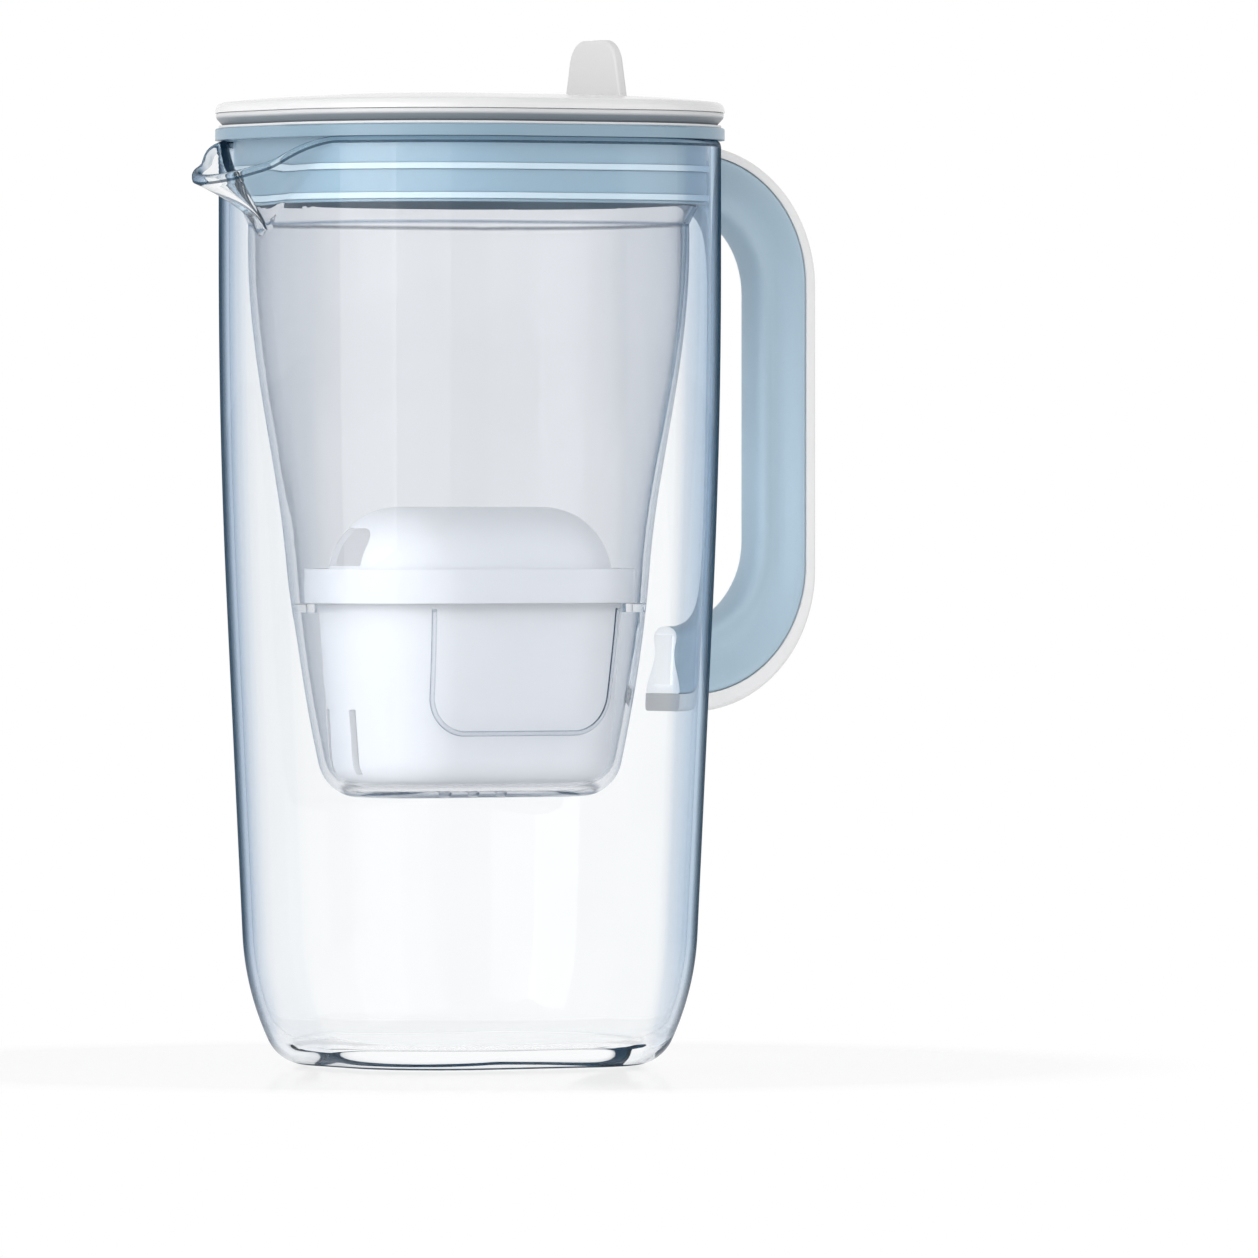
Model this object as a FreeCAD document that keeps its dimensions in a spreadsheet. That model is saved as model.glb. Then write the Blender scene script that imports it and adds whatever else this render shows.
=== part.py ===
"""Water filter pitcher: glass jug, hopper with its cartridge, and lift-off lid.

Millimetres, +Z up. The origin is the centre of the jug's flat base, the spout points to -X and
the handle to +X. The hopper hangs on the glass rim, so its heights are drops below the rim.
Plans are rounded rectangles that share their straight lengths, so they differ in radius only.
"""
import FreeCAD, Part
import Sketcher
import math
import os
import re

SIZES = {
    # Plan of the jug: straight lengths between the corner arcs, the same at every height
    "plan_flat_x": 34.0,
    "plan_flat_y": 24.0,
    # Glass jug: upright below the rim, bowed in, leaning straight, then a heel and a foot arc
    "glass_height": 260.0,
    "glass_wall": 2.9,
    "glass_floor": 6.0,
    "rim_radius": 50.0,
    "rim_stock": 4.0,
    "upright_drop": 35.0,
    "bow_radius": 2000.0,
    "wall_lean": 2.69,
    "heel_height": 36.7,
    "heel_radius": 80.0,
    "foot_radius": 12.0,
    "core_radius": 10.0,
    # Spout: the tip's reach beyond the wall, the keel's depth and the lip's drop below the rim
    "spout_reach": 22.5,
    "spout_depth": 26.0,
    "spout_drop": 9.5,
    "spout_root": 13.0,
    "spout_half_width": 36.0,
    "spout_nose": 8.0,
    "spout_thickness": 2.4,
    "lip_angle": 22.0,
    "lip_bend": 15.0,
    # Handle: faces of the grip and of the strip on its back
    "finger_gap": 24.0,
    "grip_depth": 13.2,
    "grip_width": 20.0,
    "grip_upper_drop": 3.3,
    "grip_upper_end": 14.7,
    "grip_lower_height": 104.0,
    "grip_lower_end": 19.0,
    "grip_inner_round": 25.0,
    "grip_outer_round": 36.5,
    "grip_bead": 12.0,
    "grip_hollow": 14.0,
    "grip_hollow_depth": 3.0,
    "strip_thickness": 3.5,
    "strip_lower_end": 5.0,
    "strip_edge": 1.4,
    "strip_rim_gap": 0.6,
    "seam_gap": 0.05,
    "peg_diameter": 5.0,
    "peg_length": 5.5,
    "peg_gap": 0.1,
    "peg_spacing": 56.0,
    "bond_thickness": 0.6,
    "bond_margin": 2.5,
    # Hopper collar: its lip hangs on the rim, its skirt carries two gaskets
    "collar_lip": 3.4,
    "collar_overhang": 1.0,
    "collar_gap": 1.3,
    "collar_wall": 2.0,
    "collar_drop": 18.2,
    "collar_edge": 0.6,
    "gasket_width": 1.8,
    "gasket_depth": 0.8,
    "gasket_gap": 0.45,
    "gasket_seat": 0.05,
    "upper_gasket_drop": 7.4,
    "lower_gasket_rise": 0.8,
    # Hopper funnel: flare under the collar, a blend down to the cartridge pocket, the pocket
    "funnel_wall": 2.0,
    "funnel_spigot": 3.0,
    "funnel_spigot_gap": 0.1,
    "funnel_flare": 2.7,
    "funnel_crease_drop": 23.6,
    "funnel_upper_drop": 49.0,
    "funnel_upper_draw": 0.9,
    "funnel_middle_drop": 67.3,
    "funnel_middle_draw": 1.9,
    "funnel_middle_flat_x": 34.5,
    "funnel_middle_flat_y": 18.0,
    "funnel_lower_drop": 90.0,
    "funnel_lower_growth": 3.1,
    "funnel_lower_flat_x": 36.0,
    "funnel_lower_flat_y": 8.0,
    "pocket_drop": 117.0,
    "pocket_lean": 5.9,
    "pocket_bow": 400.0,
    "pocket_foot": 12.0,
    "pocket_floor": 2.6,
    "pocket_clearance": 1.3,
    "ledge_thickness": 2.5,
    "ledge_gap": 0.7,
    "drain_diameter": 3.4,
    "drain_spacing": 9.0,
    # Cartridge: an oval whose flange stands on the funnel's ledge
    "oval_flat_x": 38.0,
    "oval_flat_y": 2.0,
    "oval_core": 2.0,
    "flange_radius": 29.5,
    "flange_gap": 1.4,
    "flange_height": 9.7,
    "flange_wall": 1.8,
    "ledge_drop": 130.0,
    "cup_radius": 25.7,
    "cup_lean": 4.5,
    "cup_wall": 1.8,
    "cup_depth": 50.7,
    "cup_foot": 7.0,
    "cup_floor": 1.8,
    "cap_plate": 1.6,
    "cap_gap": 0.2,
    "cap_radius": 23.2,
    "cap_lean": 4.0,
    "cap_height": 25.2,
    "cap_round": 20.0,
    "cap_wall": 1.8,
    "tunnel_width": 18.0,
    "tunnel_sill": 0.8,
    "tunnel_height": 10.5,
    "tunnel_round": 5.0,
    "screen_thickness": 1.2,
    "screen_gap": 0.3,
    "screen_seat": 0.1,
    "screen_slot_width": 2.0,
    "screen_slot_length": 26.0,
    "screen_slot_pitch": 5.0,
    "bed_gap": 0.2,
    "bed_foot_draw": 2.4,
    "outlet_thickness": 1.0,
    "outlet_slot_width": 1.6,
    "outlet_slot_length": 20.0,
    "outlet_slot_pitch": 4.0,
    "slot_width": 2.4,
    "slot_height": 18.0,
    "slot_spacing": 14.0,
    "slot_rise": 3.0,
    # Lid: seal on the collar, base with a skirt inside the collar, domed shell, finger tab
    "seal_thickness": 0.7,
    "seal_inset": 1.0,
    "seal_gap": 0.6,
    "lid_gap": 0.5,
    "lid_skirt": 3.8,
    "lid_skirt_wall": 1.8,
    "lid_neck": 0.5,
    "lid_neck_inset": 2.4,
    "lid_band": 3.0,
    "lid_band_inset": 0.3,
    "lid_spigot": 1.2,
    "lid_spigot_inset": 4.2,
    "lid_spigot_gap": 0.15,
    "lid_seam": 0.1,
    "lid_core": 5.0,
    "lid_edge": 0.57,
    "lid_shoulder": 2.4,
    "lid_dome_bow": 450.0,
    "lid_wall": 2.0,
    "tab_x": 41.0,
    "tab_width": 31.0,
    "tab_top_width": 23.0,
    "tab_thickness": 2.8,
    "tab_rise": 16.0,
    "tab_round": 8.0,
    "tab_edge": 0.8,
    "tab_foot": 1.0,
    "tab_foot_margin": 2.5,
    "tab_gap": 0.15,
}

document = FreeCAD.newDocument("water_filter_pitcher")
sheet = document.addObject("Spreadsheet::Sheet", "sizes")
for row, (alias, value) in enumerate(SIZES.items(), start=1):
    sheet.set(f"A{row}", alias)
    sheet.set(f"B{row}", str(value))
    sheet.setAlias(f"B{row}", alias)
document.recompute()

ALIAS = re.compile(r"[a-z]+(?:_[a-z]+)+")
UP = FreeCAD.Vector(0, 0, 1)
JUG_FLATS = ("plan_flat_x", "plan_flat_y")


def bound(text):
    """A sum of sizes, written as other objects of the document read it."""
    return ALIAS.sub(lambda found: "sizes." + found.group(0), text)


def amount(text):
    """The value of a sum of sizes."""
    return float(sheet.evalExpression(text))


def origin_feature(body, role):
    return next(item for item in body.Origin.OriginFeatures if item.Role == role)


def new_body(name):
    body = document.addObject("PartDesign::Body", name)
    body.Label = name
    return body


def new_sketch(body, name, plane="XY_Plane", offset=None):
    sketch = body.newObject("Sketcher::SketchObject", name)
    sketch.AttachmentSupport = (origin_feature(body, plane), [""])
    sketch.MapMode = "FlatFace"
    if offset:
        sketch.setExpression("AttachmentOffset.Base.z", bound(offset))
    return sketch


def tie(sketch, kind, *places):
    """A constraint without a size."""
    return sketch.addConstraint(Sketcher.Constraint(kind, *places))


def dimension(sketch, kind, places, text):
    """A dimension that follows a sum of sizes."""
    index = tie(sketch, kind, *places, amount(text))
    sketch.setExpression(f"Constraints[{index}]", bound(text))


def slope(sketch, line, text):
    """The angle of a line, in degrees from the sketch's X axis."""
    index = tie(sketch, "Angle", line, math.radians(amount(text)))
    sketch.setExpression(f"Constraints[{index}]", f"({bound(text)}) * 1 deg")


def hold(sketch, kind, geometry, point, text):
    """Hold a point at a signed distance from the sketch's origin."""
    value = amount(text)
    if abs(value) < 1e-9:
        tie(sketch, "PointOnObject", geometry, point, -1 if kind == "DistanceY" else -2)
    elif value > 0:
        dimension(sketch, kind, (-1, 1, geometry, point), text)
    else:
        dimension(sketch, kind, (geometry, point, -1, 1), f"-({text})")


class Trace:
    """A chain of lines and arcs in a sketch, each joined to the one before it."""

    def __init__(self, sketch, x, y):
        self.sketch = sketch
        self.at = FreeCAD.Vector(x, y, 0)
        self.pieces = []

    def join(self, index, start, end, smooth):
        if self.pieces:
            before, leave = self.pieces[-1][0], self.pieces[-1][2]
            tie(self.sketch, "Tangent" if smooth else "Coincident", before, leave, index, start)
        self.pieces.append((index, start, end))
        return index

    def line(self, x, y, smooth=False):
        end = FreeCAD.Vector(x, y, 0)
        index = self.sketch.addGeometry(Part.LineSegment(self.at, end), False)
        self.at = end
        return self.join(index, 1, 2, smooth)

    def level(self, x, smooth=False):
        index = self.line(x, self.at.y, smooth)
        tie(self.sketch, "Horizontal", index)
        return index

    def upright(self, y, smooth=False):
        index = self.line(self.at.x, y, smooth)
        tie(self.sketch, "Vertical", index)
        return index

    def arc(self, centre_x, centre_y, turn, smooth=True):
        """Turn about a centre by an angle in radians, to the left when it is positive."""
        centre = FreeCAD.Vector(centre_x, centre_y, 0)
        spoke = self.at - centre
        first = math.atan2(spoke.y, spoke.x)
        circle = Part.Circle(centre, UP, spoke.Length)
        low, high = (first, first + turn) if turn > 0 else (first + turn, first)
        index = self.sketch.addGeometry(Part.ArcOfCircle(circle, low, high), False)
        self.at = circle.value(first + turn)
        return self.join(index, *((1, 2) if turn > 0 else (2, 1)), smooth)

    def close(self, smooth=False):
        before, leave = self.pieces[-1][0], self.pieces[-1][2]
        first, enter = self.pieces[0][0], self.pieces[0][1]
        tie(self.sketch, "Tangent" if smooth else "Coincident", before, leave, first, enter)


def outline(sketch, corners):
    """Close a loop of level and upright lines through corners given as (x, y) or (x, y, round)."""
    points = [FreeCAD.Vector(amount(corner[0]), amount(corner[1]), 0) for corner in corners]
    rounds = [amount(corner[2]) if len(corner) > 2 else 0.0 for corner in corners]
    count = len(corners)
    ways = [(points[(i + 1) % count] - points[i]).normalize() for i in range(count)]
    begin = points[0] + ways[0] * rounds[0]
    trace = Trace(sketch, begin.x, begin.y)
    for i in range(count):
        following = (i + 1) % count
        end = points[following] - ways[i] * rounds[following]
        smooth = rounds[i] > 0
        if abs(ways[i].x) > abs(ways[i].y):
            line = trace.level(end.x, smooth)
            hold(sketch, "DistanceY", line, 1, corners[i][1])
        else:
            line = trace.upright(end.y, smooth)
            hold(sketch, "DistanceX", line, 1, corners[i][0])
        if rounds[following] > 0:
            centre = end + ways[following] * rounds[following]
            left_turn = ways[i].cross(ways[following]).z > 0
            arc = trace.arc(centre.x, centre.y, math.pi / 2 if left_turn else -math.pi / 2)
            dimension(sketch, "Radius", (arc,), corners[following][2])
    trace.close(rounds[0] > 0)


def rounded_plan(sketch, radius, flats=JUG_FLATS):
    """A rounded rectangle about the origin."""
    half_x = f"(({flats[0]}) / 2 + ({radius}))"
    half_y = f"(({flats[1]}) / 2 + ({radius}))"
    outline(sketch, [
        (f"-{half_x}", f"-{half_y}", radius),
        (half_x, f"-{half_y}", radius),
        (half_x, half_y, radius),
        (f"-{half_x}", half_y, radius),
    ])


def plan_sketch(body, name, height, radius, hole=None, flats=JUG_FLATS):
    sketch = new_sketch(body, name, "XY_Plane", height)
    rounded_plan(sketch, radius, flats)
    if hole:
        rounded_plan(sketch, hole, flats)
    return sketch


def spine_sketch(body, name, height, radius, flats=JUG_FLATS):
    """A rounded rectangle that starts at the middle of its +X side, for a sweep."""
    sketch = new_sketch(body, name, "XY_Plane", height)
    half_x = f"(({flats[0]}) / 2 + ({radius}))"
    half_y = f"(({flats[1]}) / 2 + ({radius}))"
    bend = amount(radius)
    x, y = amount(half_x), amount(half_y)
    trace = Trace(sketch, x, 0)
    quarter = math.pi / 2
    lines = [trace.upright(y - bend)]
    arcs = [trace.arc(x - bend, y - bend, quarter)]
    lines.append(trace.level(bend - x, True))
    arcs.append(trace.arc(bend - x, y - bend, quarter))
    lines.append(trace.upright(bend - y, True))
    arcs.append(trace.arc(bend - x, bend - y, quarter))
    lines.append(trace.level(x - bend, True))
    arcs.append(trace.arc(x - bend, bend - y, quarter))
    lines.append(trace.upright(0, True))
    trace.close()
    for arc in arcs:
        dimension(sketch, "Radius", (arc,), radius)
    tie(sketch, "PointOnObject", lines[0], 1, -1)
    hold(sketch, "DistanceX", lines[0], 1, half_x)
    hold(sketch, "DistanceY", lines[1], 1, half_y)
    hold(sketch, "DistanceX", lines[2], 1, f"-{half_x}")
    hold(sketch, "DistanceY", lines[3], 1, f"-{half_y}")
    return sketch


def feature_of(body, kind, name, profile):
    feature = body.newObject(f"PartDesign::{kind}", name)
    feature.Refine = False
    feature.Profile = profile
    return feature


def pad(body, name, sketch, length, both_ways=False, reverse=False):
    feature = feature_of(body, "Pad", name, sketch)
    if both_ways:
        feature.SideType = "Symmetric"
    feature.Reversed = reverse
    feature.setExpression("Length", bound(length))
    return feature


def pocket(body, name, sketch, length, both_ways=False):
    feature = feature_of(body, "Pocket", name, sketch)
    if both_ways:
        feature.SideType = "Symmetric"
    feature.setExpression("Length", bound(length))
    return feature


def loft(body, name, sketches, cut=False):
    feature = feature_of(body, "SubtractiveLoft" if cut else "AdditiveLoft", name, sketches[0])
    feature.Sections = sketches[1:]
    return feature


def pipe(body, name, sketch, spine, cut=False):
    feature = feature_of(body, "SubtractivePipe" if cut else "AdditivePipe", name, sketch)
    feature.Spine = spine
    return feature


def fillet(body, name, feature, radius, chosen):
    """Round the edges of a feature that the test picks."""
    document.recompute()
    names = [f"Edge{i}" for i, edge in enumerate(feature.Shape.Edges, start=1) if chosen(edge)]
    rounding = body.newObject("PartDesign::Fillet", name)
    rounding.Refine = False
    rounding.Base = (feature, names)
    rounding.setExpression("Radius", bound(radius))
    return rounding


def level_at(*heights):
    """Test for edges that lie flat at one of some heights."""
    values = [amount(height) for height in heights]

    def chosen(edge):
        box = edge.BoundBox
        return any(abs(box.ZMin - value) < 1e-3 and abs(box.ZMax - value) < 1e-3 for value in values)
    return chosen


def boolean(kind, name, base, tool):
    feature = document.addObject(f"Part::{kind}", name)
    feature.Label = name
    feature.Base = base
    feature.Tool = tool
    return feature


# Glass jug

RIM = "glass_height"
RIM_TOP = "(glass_height + rim_stock)"
UPRIGHT = "(glass_height - upright_drop)"
WALL_X = "(plan_flat_x / 2 + rim_radius)"


def wall_chain(trace, growth):
    """The jug's side in section, from its floor line up to above the rim, tangent all the way.

    growth moves the chain outwards.
    """
    sketch = trace.sketch
    lean = math.radians(amount("wall_lean"))
    outwards = FreeCAD.Vector(math.cos(lean), -math.sin(lean), 0)
    bow = amount(f"bow_radius + ({growth})")
    heel = amount(f"heel_radius + ({growth})")
    foot = amount("foot_radius")
    bow_centre = FreeCAD.Vector(amount(f"{WALL_X} + ({growth})") - bow, amount(UPRIGHT), 0)
    lean_top = bow_centre + outwards * bow
    lean_rise = lean_top.y - amount("heel_height")
    lean_foot = lean_top - FreeCAD.Vector(lean_rise * math.tan(lean), lean_rise, 0)
    heel_centre = lean_foot - outwards * heel
    drop = math.asin((heel_centre.y - trace.at.y - foot) / (heel - foot))
    foot_centre = heel_centre + FreeCAD.Vector(math.cos(drop), -math.sin(drop), 0) * (heel - foot)
    trace.level(foot_centre.x)
    foot_arc = trace.arc(foot_centre.x, foot_centre.y, math.pi / 2 - drop)
    heel_arc = trace.arc(heel_centre.x, heel_centre.y, drop - lean)
    lean_line = trace.line(lean_top.x, lean_top.y, True)
    bow_arc = trace.arc(bow_centre.x, bow_centre.y, lean)
    upright = trace.upright(amount(RIM_TOP), True)
    dimension(sketch, "Radius", (foot_arc,), "foot_radius")
    dimension(sketch, "Radius", (heel_arc,), f"heel_radius + ({growth})")
    dimension(sketch, "Radius", (bow_arc,), f"bow_radius + ({growth})")
    slope(sketch, lean_line, "90 - wall_lean")
    hold(sketch, "DistanceY", lean_line, 1, "heel_height")
    hold(sketch, "DistanceY", upright, 1, UPRIGHT)
    hold(sketch, "DistanceX", upright, 1, f"{WALL_X} + ({growth})")


def wall_section(body, name, growth, floor, back):
    """Half of the jug's section, between a line at back and its side."""
    sketch = new_sketch(body, name, "XZ_Plane")
    trace = Trace(sketch, amount(back), amount(floor))
    wall_chain(trace, growth)
    top = trace.level(amount(back))
    trace.upright(amount(floor))
    trace.close()
    base = trace.pieces[0][0]
    hold(sketch, "DistanceX", base, 1, back)
    hold(sketch, "DistanceY", base, 1, floor)
    hold(sketch, "DistanceY", top, 1, RIM_TOP)
    return sketch


def spout_sketch(body, name, height, shift, lift):
    """The spout's V in plan at a height: a cone about the point where its keel leaves the wall."""
    rise = f"({height} - (glass_height - spout_depth) - ({lift}))"
    lip_rise = "(spout_depth - spout_drop)"
    wall = f"(plan_flat_x / 2 + rim_radius - ({shift}))"
    nose = f"(spout_nose * {rise} / {lip_rise})"
    centre_x = f"-({wall} + spout_reach * {rise} / {lip_rise} - {nose})"
    back_x = f"-({wall} - spout_root * {rise} / spout_depth)"
    back_y = f"(spout_half_width * {rise} / spout_depth)"
    sketch = new_sketch(body, name, "XY_Plane", height)
    centre = FreeCAD.Vector(amount(centre_x), 0, 0)
    corner = FreeCAD.Vector(amount(back_x), amount(back_y), 0)
    away = corner - centre
    turn = math.atan2(away.y, away.x) + math.acos(amount(nose) / away.Length)
    start = centre + FreeCAD.Vector(math.cos(turn), math.sin(turn), 0) * amount(nose)
    trace = Trace(sketch, start.x, start.y)
    arc = trace.arc(centre.x, 0, 2 * math.pi - 2 * turn)
    trace.line(corner.x, -corner.y, True)
    back = trace.upright(corner.y)
    trace.line(start.x, start.y)
    trace.close(True)
    tie(sketch, "PointOnObject", arc, 3, -1)
    dimension(sketch, "Radius", (arc,), nose)
    hold(sketch, "DistanceX", arc, 3, centre_x)
    hold(sketch, "DistanceX", back, 2, back_x)
    hold(sketch, "DistanceY", back, 2, back_y)
    hold(sketch, "DistanceY", back, 1, f"-{back_y}")
    return sketch


def spout_sketches(body, prefix, shift, lift):
    low = f"(glass_height - spout_depth + ({lift}) + spout_nose / 4)"
    return [
        spout_sketch(body, f"{prefix}_low", low, shift, lift),
        spout_sketch(body, f"{prefix}_high", RIM_TOP, shift, lift),
    ]


def lip_sketch(body):
    """Side view of what is cut away above the rim and above the spout's sloping lip."""
    sketch = new_sketch(body, "lip_profile", "XZ_Plane")
    tip_x = f"-({WALL_X} + spout_reach)"
    far_x = f"-({WALL_X} + spout_reach * 3)"
    near_x = f"({WALL_X} * 2)"
    high_z = "(glass_height + rim_stock * 4)"
    turn = math.radians(amount("lip_angle"))
    bend = amount("lip_bend")
    rim = amount(RIM)
    knee_x = amount(tip_x) + amount("spout_drop") / math.tan(turn)
    start_x = knee_x + bend * math.tan(turn / 2)
    far_z = rim - (knee_x - amount(far_x)) * math.tan(turn)
    trace = Trace(sketch, amount(near_x), rim)
    level = trace.level(start_x)
    arc = trace.arc(start_x, rim - bend, turn)
    ramp = trace.line(amount(far_x), far_z, True)
    rise = trace.upright(amount(high_z))
    top = trace.level(amount(near_x))
    trace.upright(rim)
    trace.close()
    tip = sketch.addGeometry(Part.Point(FreeCAD.Vector(amount(tip_x), rim - amount("spout_drop"), 0)), True)
    tie(sketch, "PointOnObject", tip, 1, ramp)
    hold(sketch, "DistanceX", tip, 1, tip_x)
    hold(sketch, "DistanceY", tip, 1, "(glass_height - spout_drop)")
    dimension(sketch, "Radius", (arc,), "lip_bend")
    slope(sketch, ramp, "lip_angle - 180")
    hold(sketch, "DistanceY", level, 1, RIM)
    hold(sketch, "DistanceX", level, 1, near_x)
    hold(sketch, "DistanceY", top, 1, high_z)
    hold(sketch, "DistanceX", rise, 1, far_x)
    return sketch


CORE_X = "(plan_flat_x / 2 + core_radius)"
glass_jug = new_body("glass_jug")
outer_spine = spine_sketch(glass_jug, "outer_spine", None, "core_radius")
pipe(glass_jug, "outside", wall_section(glass_jug, "outer_section", "0", "0", CORE_X), outer_spine)
pad(glass_jug, "core", plan_sketch(glass_jug, "core_plan", None, "core_radius"), RIM_TOP)
loft(glass_jug, "spout_outside", spout_sketches(glass_jug, "spout_outside", "0", "0"))
inner_spine = spine_sketch(glass_jug, "inner_spine", "glass_floor", "core_radius")
inner_section = wall_section(glass_jug, "inner_section", "-glass_wall", "glass_floor", CORE_X)
pipe(glass_jug, "inside", inner_section, inner_spine, cut=True)
core_hole = plan_sketch(glass_jug, "hole_plan", RIM_TOP, "core_radius")
pocket(glass_jug, "hole", core_hole, f"{RIM_TOP} - glass_floor")
spout_hollow = spout_sketches(glass_jug, "spout_inside", "spout_thickness * 0.7", "spout_thickness * 0.9")
loft(glass_jug, "spout_inside", spout_hollow, cut=True)
pocket(glass_jug, "lip_cut", lip_sketch(glass_jug), "plan_flat_y + rim_radius * 4", both_ways=True)


# Handle: the grip and its back strip are C shapes in side view, trimmed to the side of the jug

GRIP_INNER = f"({WALL_X} + finger_gap)"
GRIP_BACK = f"({GRIP_INNER} + grip_depth)"
GRIP_TOP = "(glass_height - grip_upper_drop)"
GRIP_START = "(plan_flat_x / 2 + rim_radius * 0.6)"


def handle_trim(name, growth):
    """The jug's side beside the handle, grown outwards: what the handle's ends are cut to."""
    body = new_body(name)
    section = wall_section(body, f"{name}_section", growth, "0", "0")
    pad(body, f"{name}_slab", section, "grip_width * 2", both_ways=True)
    return body


def grip_blank():
    body = new_body("grip_blank")
    side = new_sketch(body, "grip_side", "XZ_Plane")
    outline(side, [
        (GRIP_START, "grip_lower_height"),
        (GRIP_BACK, "grip_lower_height", "grip_outer_round"),
        (GRIP_BACK, GRIP_TOP, "grip_outer_round"),
        (GRIP_START, GRIP_TOP),
        (GRIP_START, f"{GRIP_TOP} - grip_upper_end"),
        (GRIP_INNER, f"{GRIP_TOP} - grip_upper_end", "grip_inner_round"),
        (GRIP_INNER, "grip_lower_height + grip_lower_end", "grip_inner_round"),
        (GRIP_START, "grip_lower_height + grip_lower_end"),
    ])
    pad(body, "grip_slab", side, "grip_width", both_ways=True)
    # Each side is hollowed, so that the grip is narrow where the fingers close round it
    spine = new_sketch(body, "hollow_spine", "XZ_Plane")
    hollow_x = f"({GRIP_INNER} + grip_hollow_depth)"
    upper = f"({GRIP_TOP} - grip_upper_end + grip_hollow_depth)"
    lower = "(grip_lower_height + grip_lower_end - grip_hollow_depth)"
    bend = "(grip_inner_round + grip_hollow_depth)"
    turn = amount(bend)
    trace = Trace(spine, amount(GRIP_START), amount(upper))
    top = trace.level(amount(hollow_x) - turn)
    first = trace.arc(amount(hollow_x) - turn, amount(upper) - turn, -math.pi / 2)
    side_line = trace.upright(amount(lower) + turn, True)
    second = trace.arc(amount(hollow_x) - turn, amount(lower) + turn, -math.pi / 2)
    bottom = trace.level(amount(GRIP_START), True)
    for arc in (first, second):
        dimension(spine, "Radius", (arc,), bend)
    hold(spine, "DistanceX", top, 1, GRIP_START)
    hold(spine, "DistanceY", top, 1, upper)
    hold(spine, "DistanceX", side_line, 1, hollow_x)
    hold(spine, "DistanceY", bottom, 1, lower)
    hold(spine, "DistanceX", bottom, 2, GRIP_START)
    for name, sign in (("near", "-"), ("far", "")):
        ring = new_sketch(body, f"hollow_{name}", "YZ_Plane", GRIP_START)
        centre_y = f"{sign}(grip_bead / 2 + grip_hollow)"
        place = FreeCAD.Vector(amount(centre_y), amount(upper), 0)
        circle = ring.addGeometry(Part.Circle(place, UP, amount("grip_hollow")), False)
        dimension(ring, "Radius", (circle,), "grip_hollow")
        hold(ring, "DistanceX", circle, 3, centre_y)
        hold(ring, "DistanceY", circle, 3, upper)
        pipe(body, f"hollow_{name}_cut", ring, spine, cut=True)
    sockets = peg_sketch(body, "socket_places", GRIP_BACK, "peg_diameter + peg_gap * 2")
    pocket(body, "sockets", sockets, "peg_length + peg_gap")
    return body


def peg_sketch(body, name, place, diameter):
    """Two circles, one above the other, where the strip's pegs enter the grip."""
    sketch = new_sketch(body, name, "YZ_Plane", place)
    for sign in ("-", "+"):
        height = f"((grip_lower_height + {GRIP_TOP}) / 2 {sign} peg_spacing / 2)"
        spot = FreeCAD.Vector(0, amount(height), 0)
        circle = sketch.addGeometry(Part.Circle(spot, UP, amount(diameter) / 2), False)
        dimension(sketch, "Diameter", (circle,), diameter)
        hold(sketch, "DistanceX", circle, 3, "0")
        hold(sketch, "DistanceY", circle, 3, height)
    return sketch


def strip_blank():
    body = new_body("strip_blank")
    side = new_sketch(body, "strip_side", "XZ_Plane")
    inner_x = f"({GRIP_BACK} + seam_gap)"
    outer_x = f"({GRIP_BACK} + strip_thickness)"
    low_inner = "(grip_lower_height - seam_gap)"
    low_outer = "(grip_lower_height - strip_lower_end)"
    high_inner = f"({GRIP_TOP} + seam_gap)"
    high_outer = "(glass_height - strip_rim_gap)"
    inner_round = "(grip_outer_round + seam_gap)"
    outer_round = "(grip_outer_round + strip_thickness)"
    outline(side, [
        (GRIP_START, low_outer),
        (outer_x, low_outer, outer_round),
        (outer_x, high_outer, outer_round),
        (GRIP_START, high_outer),
        (GRIP_START, high_inner),
        (inner_x, high_inner, inner_round),
        (inner_x, low_inner, inner_round),
        (GRIP_START, low_inner),
    ])
    pad(body, "strip_slab", side, "grip_width", both_ways=True)
    peg_places = peg_sketch(body, "peg_places", inner_x, "peg_diameter")
    pegs = pad(body, "pegs", peg_places, "peg_length", reverse=True)
    back = amount(outer_x)

    def outer_edge(edge):
        point = edge.valueAt((edge.FirstParameter + edge.LastParameter) / 2)
        if abs(abs(point.y) - amount("grip_width") / 2) > 1e-3:
            return False
        centre_top = amount(high_outer) - amount(outer_round)
        centre_low = amount(low_outer) + amount(outer_round)
        centre_x = back - amount(outer_round)
        if abs(point.x - back) < 1e-3 or abs(point.z - amount(high_outer)) < 1e-3:
            return True
        if abs(point.z - amount(low_outer)) < 1e-3:
            return True
        for centre_z in (centre_top, centre_low):
            radius = math.hypot(point.x - centre_x, point.z - centre_z)
            if point.x > centre_x and abs(radius - amount(outer_round)) < 1e-3:
                return True
        return False
    fillet(body, "strip_edges", pegs, "strip_edge", outer_edge)
    return body


def bond_blank(name, low, high):
    body = new_body(f"{name}_blank")
    side = new_sketch(body, f"{name}_side", "XZ_Plane")
    outline(side, [
        (GRIP_START, f"{low} + bond_margin"),
        (f"({WALL_X} + bond_thickness * 4)", f"{low} + bond_margin"),
        (f"({WALL_X} + bond_thickness * 4)", f"{high} - bond_margin"),
        (GRIP_START, f"{high} - bond_margin"),
    ])
    pad(body, f"{name}_slab", side, "grip_bead - bond_margin", both_ways=True)
    return body


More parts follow.
